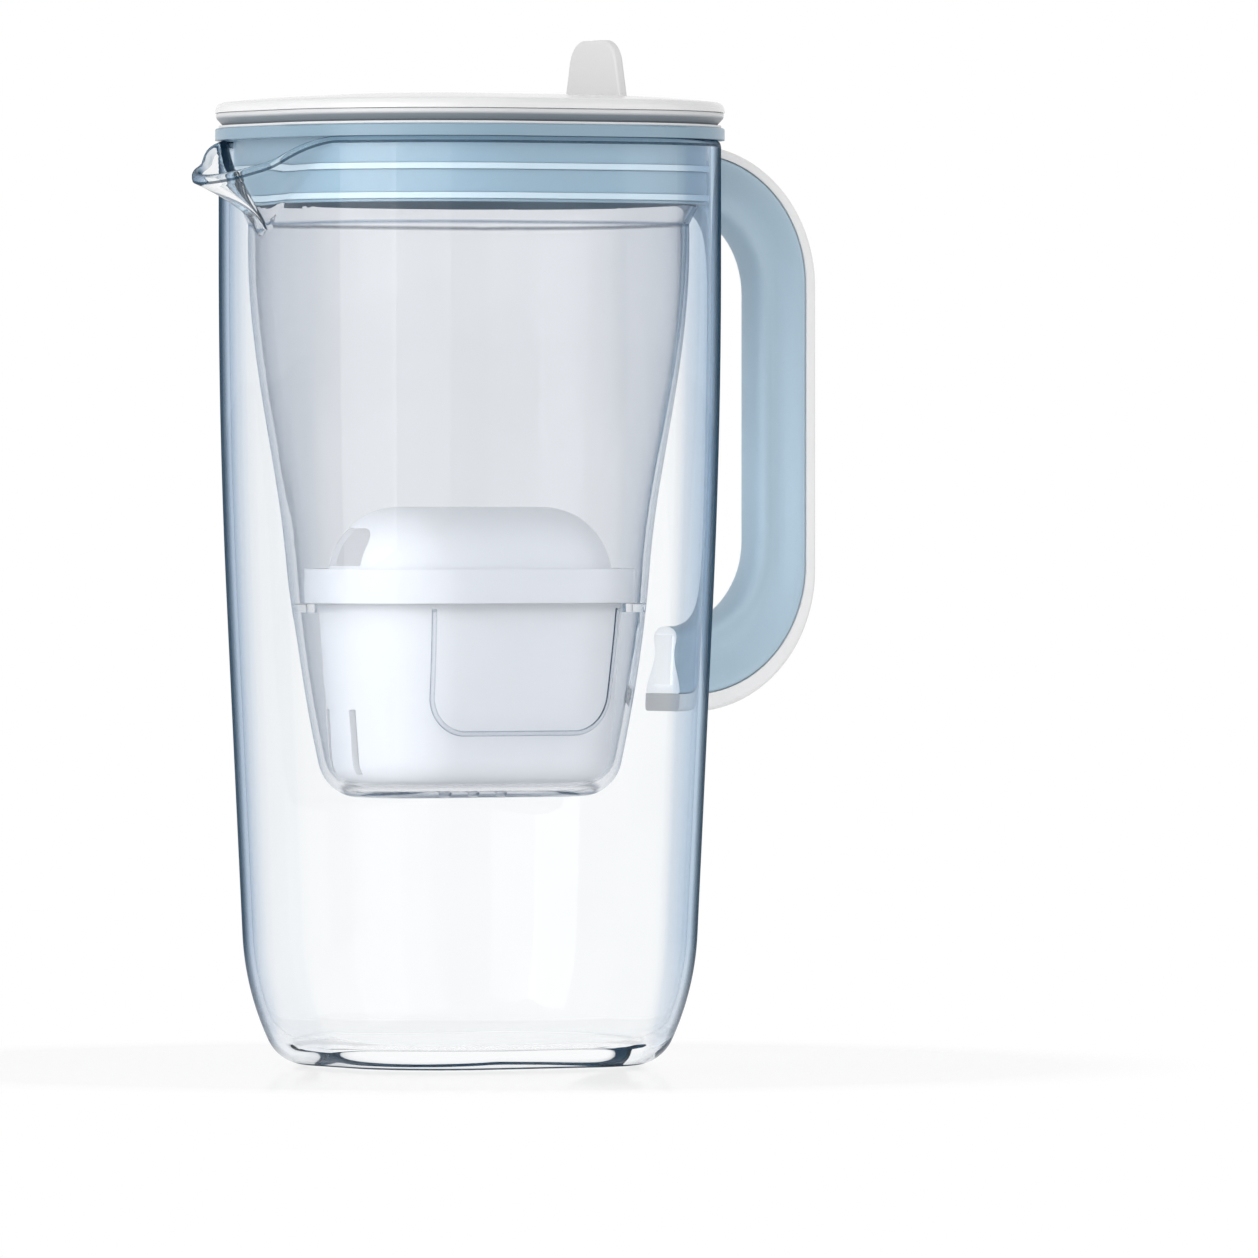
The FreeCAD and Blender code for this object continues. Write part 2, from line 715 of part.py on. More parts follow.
trim_to_glass = handle_trim("trim_to_glass", "0")
trim_to_bond = handle_trim("trim_to_bond", "bond_thickness")
handle_grip = boolean("Cut", "handle_grip", grip_blank(), trim_to_bond)
handle_back_strip = boolean("Cut", "handle_back_strip", strip_blank(), trim_to_bond)
upper_blank = bond_blank("upper_bond", f"{GRIP_TOP} - grip_upper_end", GRIP_TOP)
upper_skin = boolean("Common", "upper_bond_skin", upper_blank, trim_to_bond)
upper_bond_pad = boolean("Cut", "upper_bond_pad", upper_skin, trim_to_glass)
lower_blank = bond_blank("lower_bond", "grip_lower_height", "grip_lower_height + grip_lower_end")
lower_skin = boolean("Common", "lower_bond_skin", lower_blank, trim_to_bond)
lower_bond_pad = boolean("Cut", "lower_bond_pad", lower_skin, trim_to_glass)


# Hopper collar and its two gaskets

COLLAR_TOP = "(glass_height + collar_lip)"
COLLAR_FOOT = "(glass_height - collar_drop)"
LIP_RADIUS = "(rim_radius + collar_overhang)"
BORE_RADIUS = "(rim_radius - glass_wall)"
SKIRT_OUTER = f"({BORE_RADIUS} - collar_gap)"
SKIRT_INNER = f"({SKIRT_OUTER} - collar_wall)"
GASKET_BED = f"({SKIRT_OUTER} - gasket_depth)"
UPPER_GASKET = "(glass_height - upper_gasket_drop)"
LOWER_GASKET = f"({COLLAR_FOOT} + lower_gasket_rise + gasket_width)"

hopper_collar = new_body("hopper_collar")
skirt_plan = plan_sketch(hopper_collar, "skirt_plan", COLLAR_FOOT, SKIRT_OUTER, SKIRT_INNER)
pad(hopper_collar, "skirt", skirt_plan, "collar_drop")
lip_plan = plan_sketch(hopper_collar, "lip_plan", RIM, LIP_RADIUS, SKIRT_INNER)
pad(hopper_collar, "lip", lip_plan, "collar_lip")
for place, top in (("upper", UPPER_GASKET), ("lower", LOWER_GASKET)):
    groove_plan = plan_sketch(hopper_collar, f"{place}_groove_plan", top, LIP_RADIUS, GASKET_BED)
    groove = pocket(hopper_collar, f"{place}_groove", groove_plan, "gasket_width")
fillet(hopper_collar, "collar_edges", groove, "collar_edge", level_at(COLLAR_TOP))


def gasket(name, top):
    body = new_body(name)
    inner = f"({GASKET_BED} + gasket_seat)"
    outer = f"({BORE_RADIUS} - gasket_gap)"
    ring = plan_sketch(body, f"{name}_plan", f"{top} - gasket_width + gasket_seat", outer, inner)
    pad(body, f"{name}_ring", ring, "gasket_width - gasket_seat * 2")
    return body


upper_collar_gasket = gasket("upper_collar_gasket", UPPER_GASKET)
lower_collar_gasket = gasket("lower_collar_gasket", LOWER_GASKET)

# Hopper funnel: the pocket is swept round the cartridge's oval and blends up into the jug's plan

OVAL_FLATS = ("oval_flat_x", "oval_flat_y")
MIDDLE_FLATS = ("funnel_middle_flat_x", "funnel_middle_flat_y")
LOWER_FLATS = ("funnel_lower_flat_x", "funnel_lower_flat_y")
OVAL_CORE = "(oval_flat_x / 2 + oval_core)"
LEDGE = "(glass_height - ledge_drop)"
POCKET_TOP = "(glass_height - pocket_drop)"
CUP_FLOOR = f"({LEDGE} - cup_depth)"
INNER_FLOOR = f"({CUP_FLOOR} - pocket_clearance)"
POCKET_FLOOR = f"({INNER_FLOOR} - pocket_floor)"
BOW_RADIUS = "(flange_radius + flange_gap + funnel_wall - pocket_bow * cos(pocket_lean))"
BOW_HEIGHT = f"({LEDGE} + pocket_bow * sin(pocket_lean))"
POCKET_RADIUS = f"({BOW_RADIUS} + sqrt(pocket_bow ^ 2 - ({BOW_HEIGHT} - {POCKET_TOP}) ^ 2))"
SPIGOT_RADIUS = f"({SKIRT_INNER} - funnel_spigot_gap)"
CREASE = "(glass_height - funnel_crease_drop)"
CREASE_RADIUS = f"({SPIGOT_RADIUS} - funnel_flare)"


def polygon(sketch, corners):
    """A closed loop of straight lines, each corner held in place."""
    points = [(amount(x), amount(y)) for x, y in corners]
    trace = Trace(sketch, *points[0])
    for i in range(len(points)):
        line = trace.line(*points[(i + 1) % len(points)])
        hold(sketch, "DistanceX", line, 1, corners[i][0])
        hold(sketch, "DistanceY", line, 1, corners[i][1])
    trace.close()


def pocket_section(body, name, inset, floor):
    """Half of the pocket in section: floor line, foot arc, then one long arc up to its top."""
    sketch = new_sketch(body, name, "XZ_Plane")
    bow_text = f"(pocket_bow - ({inset}))"
    foot_text = f"(pocket_foot - ({inset}))"
    bow, foot = amount(bow_text), amount(foot_text)
    centre_x = f"(oval_flat_x / 2 + {BOW_RADIUS})"
    centre = FreeCAD.Vector(amount(centre_x), amount(BOW_HEIGHT), 0)
    foot_z = amount(floor) + foot
    drop = math.asin((centre.y - foot_z) / (bow - foot))
    foot_x = centre.x + math.cos(drop) * (bow - foot)
    rise = math.asin((centre.y - amount(POCKET_TOP)) / bow)
    trace = Trace(sketch, amount(OVAL_CORE), amount(floor))
    base = trace.level(foot_x)
    foot_arc = trace.arc(foot_x, foot_z, math.pi / 2 - drop)
    side = trace.arc(centre.x, centre.y, drop - rise)
    top = trace.level(amount(OVAL_CORE))
    trace.upright(amount(floor))
    trace.close()
    dimension(sketch, "Radius", (foot_arc,), foot_text)
    dimension(sketch, "Radius", (side,), bow_text)
    hold(sketch, "DistanceX", side, 3, centre_x)
    hold(sketch, "DistanceY", side, 3, BOW_HEIGHT)
    hold(sketch, "DistanceX", base, 1, OVAL_CORE)
    hold(sketch, "DistanceY", base, 1, floor)
    hold(sketch, "DistanceY", top, 1, POCKET_TOP)
    return sketch


def blend_sketches(body, prefix, inset):
    """Plans from the pocket's oval up to the crease under the flare."""
    stations = [
        ("pocket", "pocket_drop", POCKET_RADIUS, OVAL_FLATS),
        ("lower", "funnel_lower_drop", f"{POCKET_RADIUS} + funnel_lower_growth", LOWER_FLATS),
        ("middle", "funnel_middle_drop", f"{CREASE_RADIUS} - funnel_middle_draw", MIDDLE_FLATS),
        ("upper", "funnel_upper_drop", f"{CREASE_RADIUS} - funnel_upper_draw", JUG_FLATS),
        ("crease", "funnel_crease_drop", CREASE_RADIUS, JUG_FLATS),
    ]
    sketches = []
    for name, drop, radius, flats in stations:
        height = f"(glass_height - {drop})"
        sketches.append(plan_sketch(body, f"{prefix}_{name}", height, f"{radius} - ({inset})", flats=flats))
    return sketches


hopper_funnel = new_body("hopper_funnel")
pocket_spine = spine_sketch(hopper_funnel, "pocket_spine", POCKET_FLOOR, "oval_core", OVAL_FLATS)
pocket_outer = pocket_section(hopper_funnel, "pocket_outer", "0", POCKET_FLOOR)
pipe(hopper_funnel, "pocket_outside", pocket_outer, pocket_spine)
pocket_core = plan_sketch(hopper_funnel, "pocket_core_plan", POCKET_FLOOR, "oval_core", flats=OVAL_FLATS)
pad(hopper_funnel, "pocket_core", pocket_core, f"{POCKET_TOP} - {POCKET_FLOOR}")
loft(hopper_funnel, "blend_outside", blend_sketches(hopper_funnel, "blend_outside", "0"))
hollow_spine = spine_sketch(hopper_funnel, "pocket_hollow_spine", INNER_FLOOR, "oval_core", OVAL_FLATS)
pocket_inner = pocket_section(hopper_funnel, "pocket_inner", "funnel_wall", INNER_FLOOR)
pipe(hopper_funnel, "pocket_inside", pocket_inner, hollow_spine, cut=True)
core_plan = plan_sketch(hopper_funnel, "pocket_hole_plan", POCKET_TOP, "oval_core", flats=OVAL_FLATS)
pocket(hopper_funnel, "pocket_hole", core_plan, f"{POCKET_TOP} - {INNER_FLOOR}")
loft(hopper_funnel, "blend_inside", blend_sketches(hopper_funnel, "blend_inside", "funnel_wall"), cut=True)
flare_section = new_sketch(hopper_funnel, "flare_section", "XZ_Plane")
polygon(flare_section, [
    (f"plan_flat_x / 2 + {CREASE_RADIUS} - funnel_wall", CREASE),
    (f"plan_flat_x / 2 + {CREASE_RADIUS}", CREASE),
    (f"plan_flat_x / 2 + {SPIGOT_RADIUS}", COLLAR_FOOT),
    (f"plan_flat_x / 2 + {SPIGOT_RADIUS}", f"{COLLAR_FOOT} + funnel_spigot"),
    (f"plan_flat_x / 2 + {SPIGOT_RADIUS} - funnel_wall", f"{COLLAR_FOOT} + funnel_spigot"),
    (f"plan_flat_x / 2 + {SPIGOT_RADIUS} - funnel_wall", COLLAR_FOOT),
])
flare_spine = spine_sketch(hopper_funnel, "flare_spine", CREASE, f"{CREASE_RADIUS} - funnel_wall")
pipe(hopper_funnel, "flare", flare_section, flare_spine)
ledge_plan = plan_sketch(
    hopper_funnel, "ledge_plan", LEDGE, "flange_radius + flange_gap + funnel_wall / 2",
    "cup_radius + ledge_gap", OVAL_FLATS)
pad(hopper_funnel, "ledge", ledge_plan, "ledge_thickness", reverse=True)
drain_plan = new_sketch(hopper_funnel, "drain_plan", "XY_Plane", INNER_FLOOR)
for place in ("-drain_spacing", "0", "drain_spacing"):
    spot = FreeCAD.Vector(amount(place), 0, 0)
    drain = drain_plan.addGeometry(Part.Circle(spot, UP, amount("drain_diameter / 2")), False)
    dimension(drain_plan, "Diameter", (drain,), "drain_diameter")
    hold(drain_plan, "DistanceX", drain, 3, place)
    hold(drain_plan, "DistanceY", drain, 3, "0")
pocket(hopper_funnel, "drains", drain_plan, "pocket_floor * 2")

# Cartridge: cup, cap, screens and bed on the same oval

CUP_X = "(oval_flat_x / 2 + cup_radius)"
FLANGE_X = "(oval_flat_x / 2 + flange_radius)"
FLANGE_TOP = f"({LEDGE} + flange_height)"
WEB_TOP = f"({LEDGE} + cup_wall)"
CUP_INNER_FOOT = "(cup_foot - cup_wall)"
FLAT_FLOOR = (
    "(cup_radius - cup_wall - cup_foot + cup_wall"
    " - (cup_depth + cup_wall - cup_floor - cup_foot + cup_wall) * tan(cup_lean))"
)


def cup_section(body):
    """The cup's wall, flange and outer floor in section."""
    sketch = new_sketch(body, "cup_section", "XZ_Plane")
    lean = math.radians(amount("cup_lean"))

    def foot_of(line_x, line_z, floor, radius):
        """Where a foot arc that meets a floor line and the leaning side has its centre."""
        touch_z = floor + radius - radius * math.sin(lean)
        touch_x = line_x - (line_z - touch_z) * math.tan(lean)
        return touch_x - radius * math.cos(lean), floor + radius, touch_x, touch_z
    floor, ledge = amount(CUP_FLOOR), amount(LEDGE)
    foot, inner_foot = amount("cup_foot"), amount(CUP_INNER_FOOT)
    inner_floor = amount(f"{CUP_FLOOR} + cup_floor")
    outer = foot_of(amount(CUP_X), ledge, floor, foot)
    inner = foot_of(amount(f"{CUP_X} - cup_wall"), amount(WEB_TOP), inner_floor, inner_foot)
    trace = Trace(sketch, amount(OVAL_CORE), floor)
    base = trace.level(outer[0])
    foot_arc = trace.arc(outer[0], outer[1], math.pi / 2 - lean)
    side = trace.line(amount(CUP_X), ledge, True)
    under = trace.level(amount(FLANGE_X))
    rim = trace.upright(amount(FLANGE_TOP))
    rim_top = trace.level(amount(f"{FLANGE_X} - flange_wall"))
    rim_inside = trace.upright(amount(WEB_TOP))
    web = trace.level(amount(f"{CUP_X} - cup_wall"))
    inside = trace.line(inner[2], inner[3])
    inner_arc = trace.arc(inner[0], inner[1], lean - math.pi / 2)
    inner_base = trace.level(amount(OVAL_CORE), True)
    trace.upright(floor)
    trace.close()
    dimension(sketch, "Radius", (foot_arc,), "cup_foot")
    dimension(sketch, "Radius", (inner_arc,), CUP_INNER_FOOT)
    slope(sketch, side, "90 - cup_lean")
    slope(sketch, inside, "-90 - cup_lean")
    hold(sketch, "DistanceX", base, 1, OVAL_CORE)
    hold(sketch, "DistanceY", base, 1, CUP_FLOOR)
    hold(sketch, "DistanceX", side, 2, CUP_X)
    hold(sketch, "DistanceY", under, 1, LEDGE)
    hold(sketch, "DistanceX", rim, 1, FLANGE_X)
    hold(sketch, "DistanceY", rim_top, 1, FLANGE_TOP)
    hold(sketch, "DistanceX", rim_inside, 1, f"{FLANGE_X} - flange_wall")
    hold(sketch, "DistanceY", web, 1, WEB_TOP)
    hold(sketch, "DistanceX", web, 2, f"{CUP_X} - cup_wall")
    hold(sketch, "DistanceY", inner_base, 1, f"{CUP_FLOOR} + cup_floor")
    return sketch


cartridge_cup = new_body("cartridge_cup")
cup_spine = spine_sketch(cartridge_cup, "cup_spine", CUP_FLOOR, "oval_core", OVAL_FLATS)
pipe(cartridge_cup, "cup_wall", cup_section(cartridge_cup), cup_spine)
cup_core = plan_sketch(cartridge_cup, "cup_core_plan", CUP_FLOOR, "oval_core", flats=OVAL_FLATS)
pad(cartridge_cup, "cup_core", cup_core, "cup_floor")
end_slots = new_sketch(cartridge_cup, "end_slots", "YZ_Plane")
for middle in ("-slot_spacing / 2", "slot_spacing / 2"):
    outline(end_slots, [
        (f"{middle} - slot_width / 2", f"{CUP_FLOOR} + slot_rise"),
        (f"{middle} + slot_width / 2", f"{CUP_FLOOR} + slot_rise"),
        (f"{middle} + slot_width / 2", f"{CUP_FLOOR} + slot_rise + slot_height"),
        (f"{middle} - slot_width / 2", f"{CUP_FLOOR} + slot_rise + slot_height"),
    ])
pocket(cartridge_cup, "end_slot_cuts", end_slots, f"{FLANGE_X} * 4", both_ways=True)

CAP_TOP = f"({WEB_TOP} + cap_height)"
CAP_EDGE = "(oval_flat_x / 2 + flange_radius - flange_wall - cap_gap)"
CAP_X = "(oval_flat_x / 2 + cap_radius)"
CAP_STEP = f"({WEB_TOP} + cap_plate)"


def cap_section(body):
    """The cap's flat edge and its dome in section."""
    sketch = new_sketch(body, "cap_section", "XZ_Plane")
    lean = math.radians(amount("cap_lean"))
    top = amount(CAP_TOP)
    bend = amount("cap_round")
    inner_bend = amount("cap_round - cap_wall")
    centre_z = top - bend
    touch_z = centre_z + bend * math.sin(lean)
    touch_x = amount(CAP_X) - (touch_z - amount(CAP_STEP)) * math.tan(lean)
    centre_x = touch_x - bend * math.cos(lean)
    inner_x = centre_x + inner_bend * math.cos(lean)
    inner_z = centre_z + inner_bend * math.sin(lean)
    foot_x = inner_x + (inner_z - amount(WEB_TOP)) * math.tan(lean)
    trace = Trace(sketch, foot_x, amount(WEB_TOP))
    under = trace.level(amount(CAP_EDGE))
    edge = trace.upright(amount(CAP_STEP))
    step = trace.level(amount(CAP_X))
    side = trace.line(touch_x, touch_z)
    dome = trace.arc(centre_x, centre_z, math.pi / 2 - lean)
    crown = trace.level(amount(OVAL_CORE), True)
    trace.upright(top - amount("cap_wall"))
    ceiling = trace.level(centre_x)
    inner_dome = trace.arc(centre_x, centre_z, lean - math.pi / 2)
    inside = trace.line(foot_x, amount(WEB_TOP), True)
    trace.close()
    dimension(sketch, "Radius", (dome,), "cap_round")
    dimension(sketch, "Radius", (inner_dome,), "cap_round - cap_wall")
    tie(sketch, "Coincident", dome, 3, inner_dome, 3)
    slope(sketch, side, "90 + cap_lean")
    tie(sketch, "Parallel", inside, side)
    hold(sketch, "DistanceY", under, 1, WEB_TOP)
    hold(sketch, "DistanceX", edge, 1, CAP_EDGE)
    hold(sketch, "DistanceY", step, 1, CAP_STEP)
    hold(sketch, "DistanceX", step, 2, CAP_X)
    hold(sketch, "DistanceY", crown, 1, CAP_TOP)
    hold(sketch, "DistanceX", crown, 2, OVAL_CORE)
    return sketch


cartridge_cap = new_body("cartridge_cap")
cap_spine = spine_sketch(cartridge_cap, "cap_spine", WEB_TOP, "oval_core", OVAL_FLATS)
pipe(cartridge_cap, "cap_dome", cap_section(cartridge_cap), cap_spine)
crown_plan = plan_sketch(cartridge_cap, "crown_plan", CAP_TOP, "oval_core", flats=OVAL_FLATS)
pad(cartridge_cap, "crown", crown_plan, "cap_wall", reverse=True)
tunnel = new_sketch(cartridge_cap, "tunnel", "YZ_Plane")
TUNNEL_LOW = f"({FLANGE_TOP} + tunnel_sill)"
outline(tunnel, [
    ("-tunnel_width / 2", TUNNEL_LOW),
    ("tunnel_width / 2", TUNNEL_LOW),
    ("tunnel_width / 2", f"{TUNNEL_LOW} + tunnel_height", "tunnel_round"),
    ("-tunnel_width / 2", f"{TUNNEL_LOW} + tunnel_height", "tunnel_round"),
])
pocket(cartridge_cap, "tunnel_cut", tunnel, f"{FLANGE_X} * 4", both_ways=True)

SCREEN_SLOTS = 13
OUTLET_SLOTS = 15


def slotted_screen(name, low, thickness, radius, slot_width, slot_length, pitch, count):
    """An oval plate with a row of slots across it."""
    body = new_body(name)
    plate_plan = plan_sketch(body, f"{name}_plan", low, radius, flats=OVAL_FLATS)
    pad(body, f"{name}_plate", plate_plan, thickness)
    slot = new_sketch(body, f"{name}_slot", "XY_Plane", f"{low} + {thickness}")
    first = f"(-({pitch}) * {(count - 1) / 2})"
    outline(slot, [
        (f"{first} - {slot_width} / 2", f"-{slot_length} / 2"),
        (f"{first} + {slot_width} / 2", f"-{slot_length} / 2"),
        (f"{first} + {slot_width} / 2", f"{slot_length} / 2"),
        (f"{first} - {slot_width} / 2", f"{slot_length} / 2"),
    ])
    cut = pocket(body, f"{name}_cut", slot, f"{thickness} * 2")
    row = body.newObject("PartDesign::LinearPattern", f"{name}_row")
    row.Refine = False
    row.Originals = [cut]
    row.Direction = (origin_feature(body, "X_Axis"), [""])
    row.Occurrences = count
    row.setExpression("Length", bound(f"({pitch}) * {count - 1}"))
    body.Tip = row
    return body


SCREEN_LOW = f"({WEB_TOP} - screen_seat - screen_thickness)"
OUTLET_LOW = f"({CUP_FLOOR} + cup_floor + screen_seat)"
inlet_screen = slotted_screen(
    "inlet_screen", SCREEN_LOW, "screen_thickness", "(cup_radius - cup_wall - screen_gap)",
    "screen_slot_width", "screen_slot_length", "screen_slot_pitch", SCREEN_SLOTS)
outlet_screen = slotted_screen(
    "outlet_screen", OUTLET_LOW, "outlet_thickness", FLAT_FLOOR,
    "outlet_slot_width", "outlet_slot_length", "outlet_slot_pitch", OUTLET_SLOTS)

BED_LOW = f"({OUTLET_LOW} + outlet_thickness + screen_seat)"
BED_TOP = f"({SCREEN_LOW} - screen_seat)"
filter_bed = new_body("filter_bed")
bed_inner = "(cup_radius - cup_wall - bed_gap)"
loft(filter_bed, "bed", [
    plan_sketch(filter_bed, "bed_foot", BED_LOW,
                f"{bed_inner} - bed_foot_draw - ({WEB_TOP} - {BED_LOW}) * tan(cup_lean)", flats=OVAL_FLATS),
    plan_sketch(filter_bed, "bed_top", BED_TOP,
                f"{bed_inner} - ({WEB_TOP} - {BED_TOP}) * tan(cup_lean)", flats=OVAL_FLATS),
])

# Lid: seal ring on the collar, base with its skirt inside the collar, shell and tab

SEAL_TOP = f"({COLLAR_TOP} + seal_thickness)"
NECK_TOP = f"({SEAL_TOP} + lid_neck)"
BAND_TOP = f"({NECK_TOP} + lid_band)"
SPIGOT_TOP = f"({BAND_TOP} + lid_spigot)"
SHELL_LOW = f"({BAND_TOP} + lid_seam)"
SHOULDER_REACH = f"({LIP_RADIUS} - lid_shoulder - lid_core)"
SHOULDER_DEPTH = f"sqrt((lid_dome_bow - lid_shoulder) ^ 2 - {SHOULDER_REACH} ^ 2)"
DOME_TOP = f"({SHELL_LOW} + lid_edge + lid_dome_bow - {SHOULDER_DEPTH})"
LID_SKIRT = f"({SKIRT_INNER} - lid_gap)"
LID_SPIGOT = f"({LIP_RADIUS} - lid_spigot_inset)"

lid_seal = new_body("lid_seal")
seal_plan = plan_sketch(
    lid_seal, "seal_plan", COLLAR_TOP, f"{LIP_RADIUS} - seal_inset", f"{SKIRT_INNER} + seal_gap")
pad(lid_seal, "seal_ring", seal_plan, "seal_thickness")

lid_base = new_body("lid_base")
neck_plan = plan_sketch(lid_base, "neck_plan", SEAL_TOP, f"{LIP_RADIUS} - lid_neck_inset")
pad(lid_base, "neck", neck_plan, "lid_neck")
band_plan = plan_sketch(lid_base, "band_plan", NECK_TOP, f"{LIP_RADIUS} - lid_band_inset")
pad(lid_base, "band", band_plan, "lid_band")
spigot_plan = plan_sketch(lid_base, "spigot_plan", BAND_TOP, LID_SPIGOT)
pad(lid_base, "spigot", spigot_plan, "lid_spigot")
lid_skirt_plan = plan_sketch(lid_base, "lid_skirt_plan", SEAL_TOP, LID_SKIRT, f"{LID_SKIRT} - lid_skirt_wall")
pad(lid_base, "skirt", lid_skirt_plan, "lid_skirt", reverse=True)


def shell_section(body):
    """The lid's upright edge, rounded shoulder and shallow dome in section."""
    sketch = new_sketch(body, "shell_section", "XZ_Plane")
    edge_x = f"(plan_flat_x / 2 + {LIP_RADIUS})"
    core_x = "(plan_flat_x / 2 + lid_core)"
    inner_x = f"(plan_flat_x / 2 + {LID_SPIGOT} + lid_spigot_gap)"
    bow, wall, bend = amount("lid_dome_bow"), amount("lid_wall"), amount("lid_shoulder")
    low, top = amount(SHELL_LOW), amount(DOME_TOP)
    centre = FreeCAD.Vector(amount(core_x), top - bow, 0)
    shoulder_x = amount(edge_x) - bend
    tilt = math.asin((shoulder_x - centre.x) / (bow - bend))
    shoulder_z = centre.y + (bow - bend) * math.cos(tilt)
    inner_tilt = math.asin((amount(inner_x) - centre.x) / (bow - wall))
    trace = Trace(sketch, amount(edge_x), low)
    edge = trace.upright(shoulder_z)
    shoulder = trace.arc(shoulder_x, shoulder_z, math.pi / 2 - tilt)
    dome = trace.arc(centre.x, centre.y, tilt)
    drop = trace.upright(top - wall)
    ceiling = trace.arc(centre.x, centre.y, -inner_tilt, False)
    inner = trace.upright(low)
    under = trace.level(amount(edge_x))
    trace.close()
    dimension(sketch, "Radius", (shoulder,), "lid_shoulder")
    dimension(sketch, "Radius", (dome,), "lid_dome_bow")
    dimension(sketch, "Radius", (ceiling,), "lid_dome_bow - lid_wall")
    tie(sketch, "Coincident", dome, 3, ceiling, 3)
    hold(sketch, "DistanceX", edge, 1, edge_x)
    hold(sketch, "DistanceY", edge, 1, SHELL_LOW)
    hold(sketch, "DistanceX", dome, 3, core_x)
    hold(sketch, "DistanceX", drop, 1, core_x)
    hold(sketch, "DistanceY", drop, 1, DOME_TOP)
    hold(sketch, "DistanceX", inner, 1, inner_x)
    return sketch


def tab_slot(body, name, height, gap):
    """The tab's rectangle in plan."""
    sketch = new_sketch(body, name, "XY_Plane", height)
    half_x = f"(tab_thickness / 2 + {gap})"
    half_y = f"(tab_width / 2 + {gap})"
    outline(sketch, [
        (f"tab_x - {half_x}", f"-{half_y}"),
        (f"tab_x + {half_x}", f"-{half_y}"),
        (f"tab_x + {half_x}", half_y),
        (f"tab_x - {half_x}", half_y),
    ])
    return sketch


lid_shell = new_body("lid_shell")
shell_spine = spine_sketch(lid_shell, "shell_spine", SHELL_LOW, "lid_core")
pipe(lid_shell, "dome", shell_section(lid_shell), shell_spine)
dome_plan = plan_sketch(lid_shell, "dome_plan", DOME_TOP, "lid_core")
pad(lid_shell, "dome_core", dome_plan, "lid_wall", reverse=True)
slot_plan = tab_slot(lid_shell, "tab_slot", DOME_TOP, "tab_gap")
pocket(lid_shell, "tab_slot_cut", slot_plan, f"{DOME_TOP} - {SHELL_LOW}")

TAB_TOP = f"({DOME_TOP} + tab_rise)"


def tab_face(body):
    """The tab seen along X: straight flanks that draw in towards a rounded top."""
    sketch = new_sketch(body, "tab_face", "YZ_Plane", "tab_x")
    half, top_half = amount("tab_width / 2"), amount("tab_top_width / 2")
    low, top, bend = amount(SPIGOT_TOP), amount(TAB_TOP), amount("tab_round")
    flank_z = amount(DOME_TOP)
    lean = math.atan2(half - top_half, top - flank_z)
    turn = math.pi / 2 - lean
    reach = bend * math.tan(turn / 2)
    corner = FreeCAD.Vector(top_half, top, 0)
    down = FreeCAD.Vector(math.sin(lean), -math.cos(lean), 0)
    touch = corner + down * reach
    trace = Trace(sketch, -half, low)
    base = trace.level(half)
    wall = trace.upright(flank_z)
    flank = trace.line(touch.x, touch.y)
    first = trace.arc(top_half - reach, top - bend, turn)
    crown = trace.level(reach - top_half, True)
    second = trace.arc(reach - top_half, top - bend, turn)
    other = trace.line(-half, flank_z, True)
    trace.upright(low)
    trace.close()
    for side, line in (("", flank), ("-", other)):
        spot = FreeCAD.Vector(amount(f"{side}tab_top_width / 2"), top, 0)
        apex = sketch.addGeometry(Part.Point(spot), True)
        tie(sketch, "PointOnObject", apex, 1, line)
        hold(sketch, "DistanceX", apex, 1, f"{side}tab_top_width / 2")
        hold(sketch, "DistanceY", apex, 1, TAB_TOP)
    dimension(sketch, "Radius", (first,), "tab_round")
    tie(sketch, "Equal", first, second)
    hold(sketch, "DistanceX", wall, 1, "tab_width / 2")
    hold(sketch, "DistanceX", base, 1, "-tab_width / 2")
    hold(sketch, "DistanceY", base, 1, SPIGOT_TOP)
    hold(sketch, "DistanceY", wall, 2, DOME_TOP)
    hold(sketch, "DistanceY", other, 2, DOME_TOP)
    hold(sketch, "DistanceY", crown, 1, TAB_TOP)
    return sketch


lift_tab = new_body("lift_tab")
tab_plate = pad(lift_tab, "tab_plate", tab_face(lift_tab), "tab_thickness", both_ways=True)


def tab_rim(edge):
    """Edges of the tab's two faces above the lid."""
    low = amount(DOME_TOP)
    point = edge.valueAt((edge.FirstParameter + edge.LastParameter) / 2)
    on_face = abs(abs(point.x - amount("tab_x")) - amount("tab_thickness / 2")) < 1e-3
    return on_face and edge.BoundBox.ZMin > low - 1e-3 and edge.BoundBox.ZMax > low + 1


fillet(lift_tab, "tab_edges", tab_plate, "tab_edge", tab_rim)
foot_plan = tab_slot(lift_tab, "tab_foot_plan", SPIGOT_TOP, "tab_foot_margin")
pad(lift_tab, "tab_foot", foot_plan, "tab_foot")

SUB_PARTS = [
    glass_jug, handle_grip, handle_back_strip, upper_bond_pad, lower_bond_pad,
    hopper_collar, upper_collar_gasket, lower_collar_gasket, hopper_funnel,
    cartridge_cup, cartridge_cap, inlet_screen, filter_bed, outlet_screen,
    lid_seal, lid_base, lid_shell, lift_tab,
]

document.recompute()
failed = [item.Name for item in document.Objects if {"Invalid", "Error"} & set(item.State)]
failed += [item.Label for item in SUB_PARTS if item.Shape.isNull() or not item.Shape.isValid()]
if failed:
    raise RuntimeError("not built: " + ", ".join(failed))
os.makedirs("parts", exist_ok=True)
for item in SUB_PARTS:
    item.Shape.exportStep(f"parts/{item.Label}.step")
    print(f"{item.Label}: {item.Shape.Volume / 1000:.2f} cm3")
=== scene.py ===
"""Looks of a glass water filter pitcher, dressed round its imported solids."""

import math

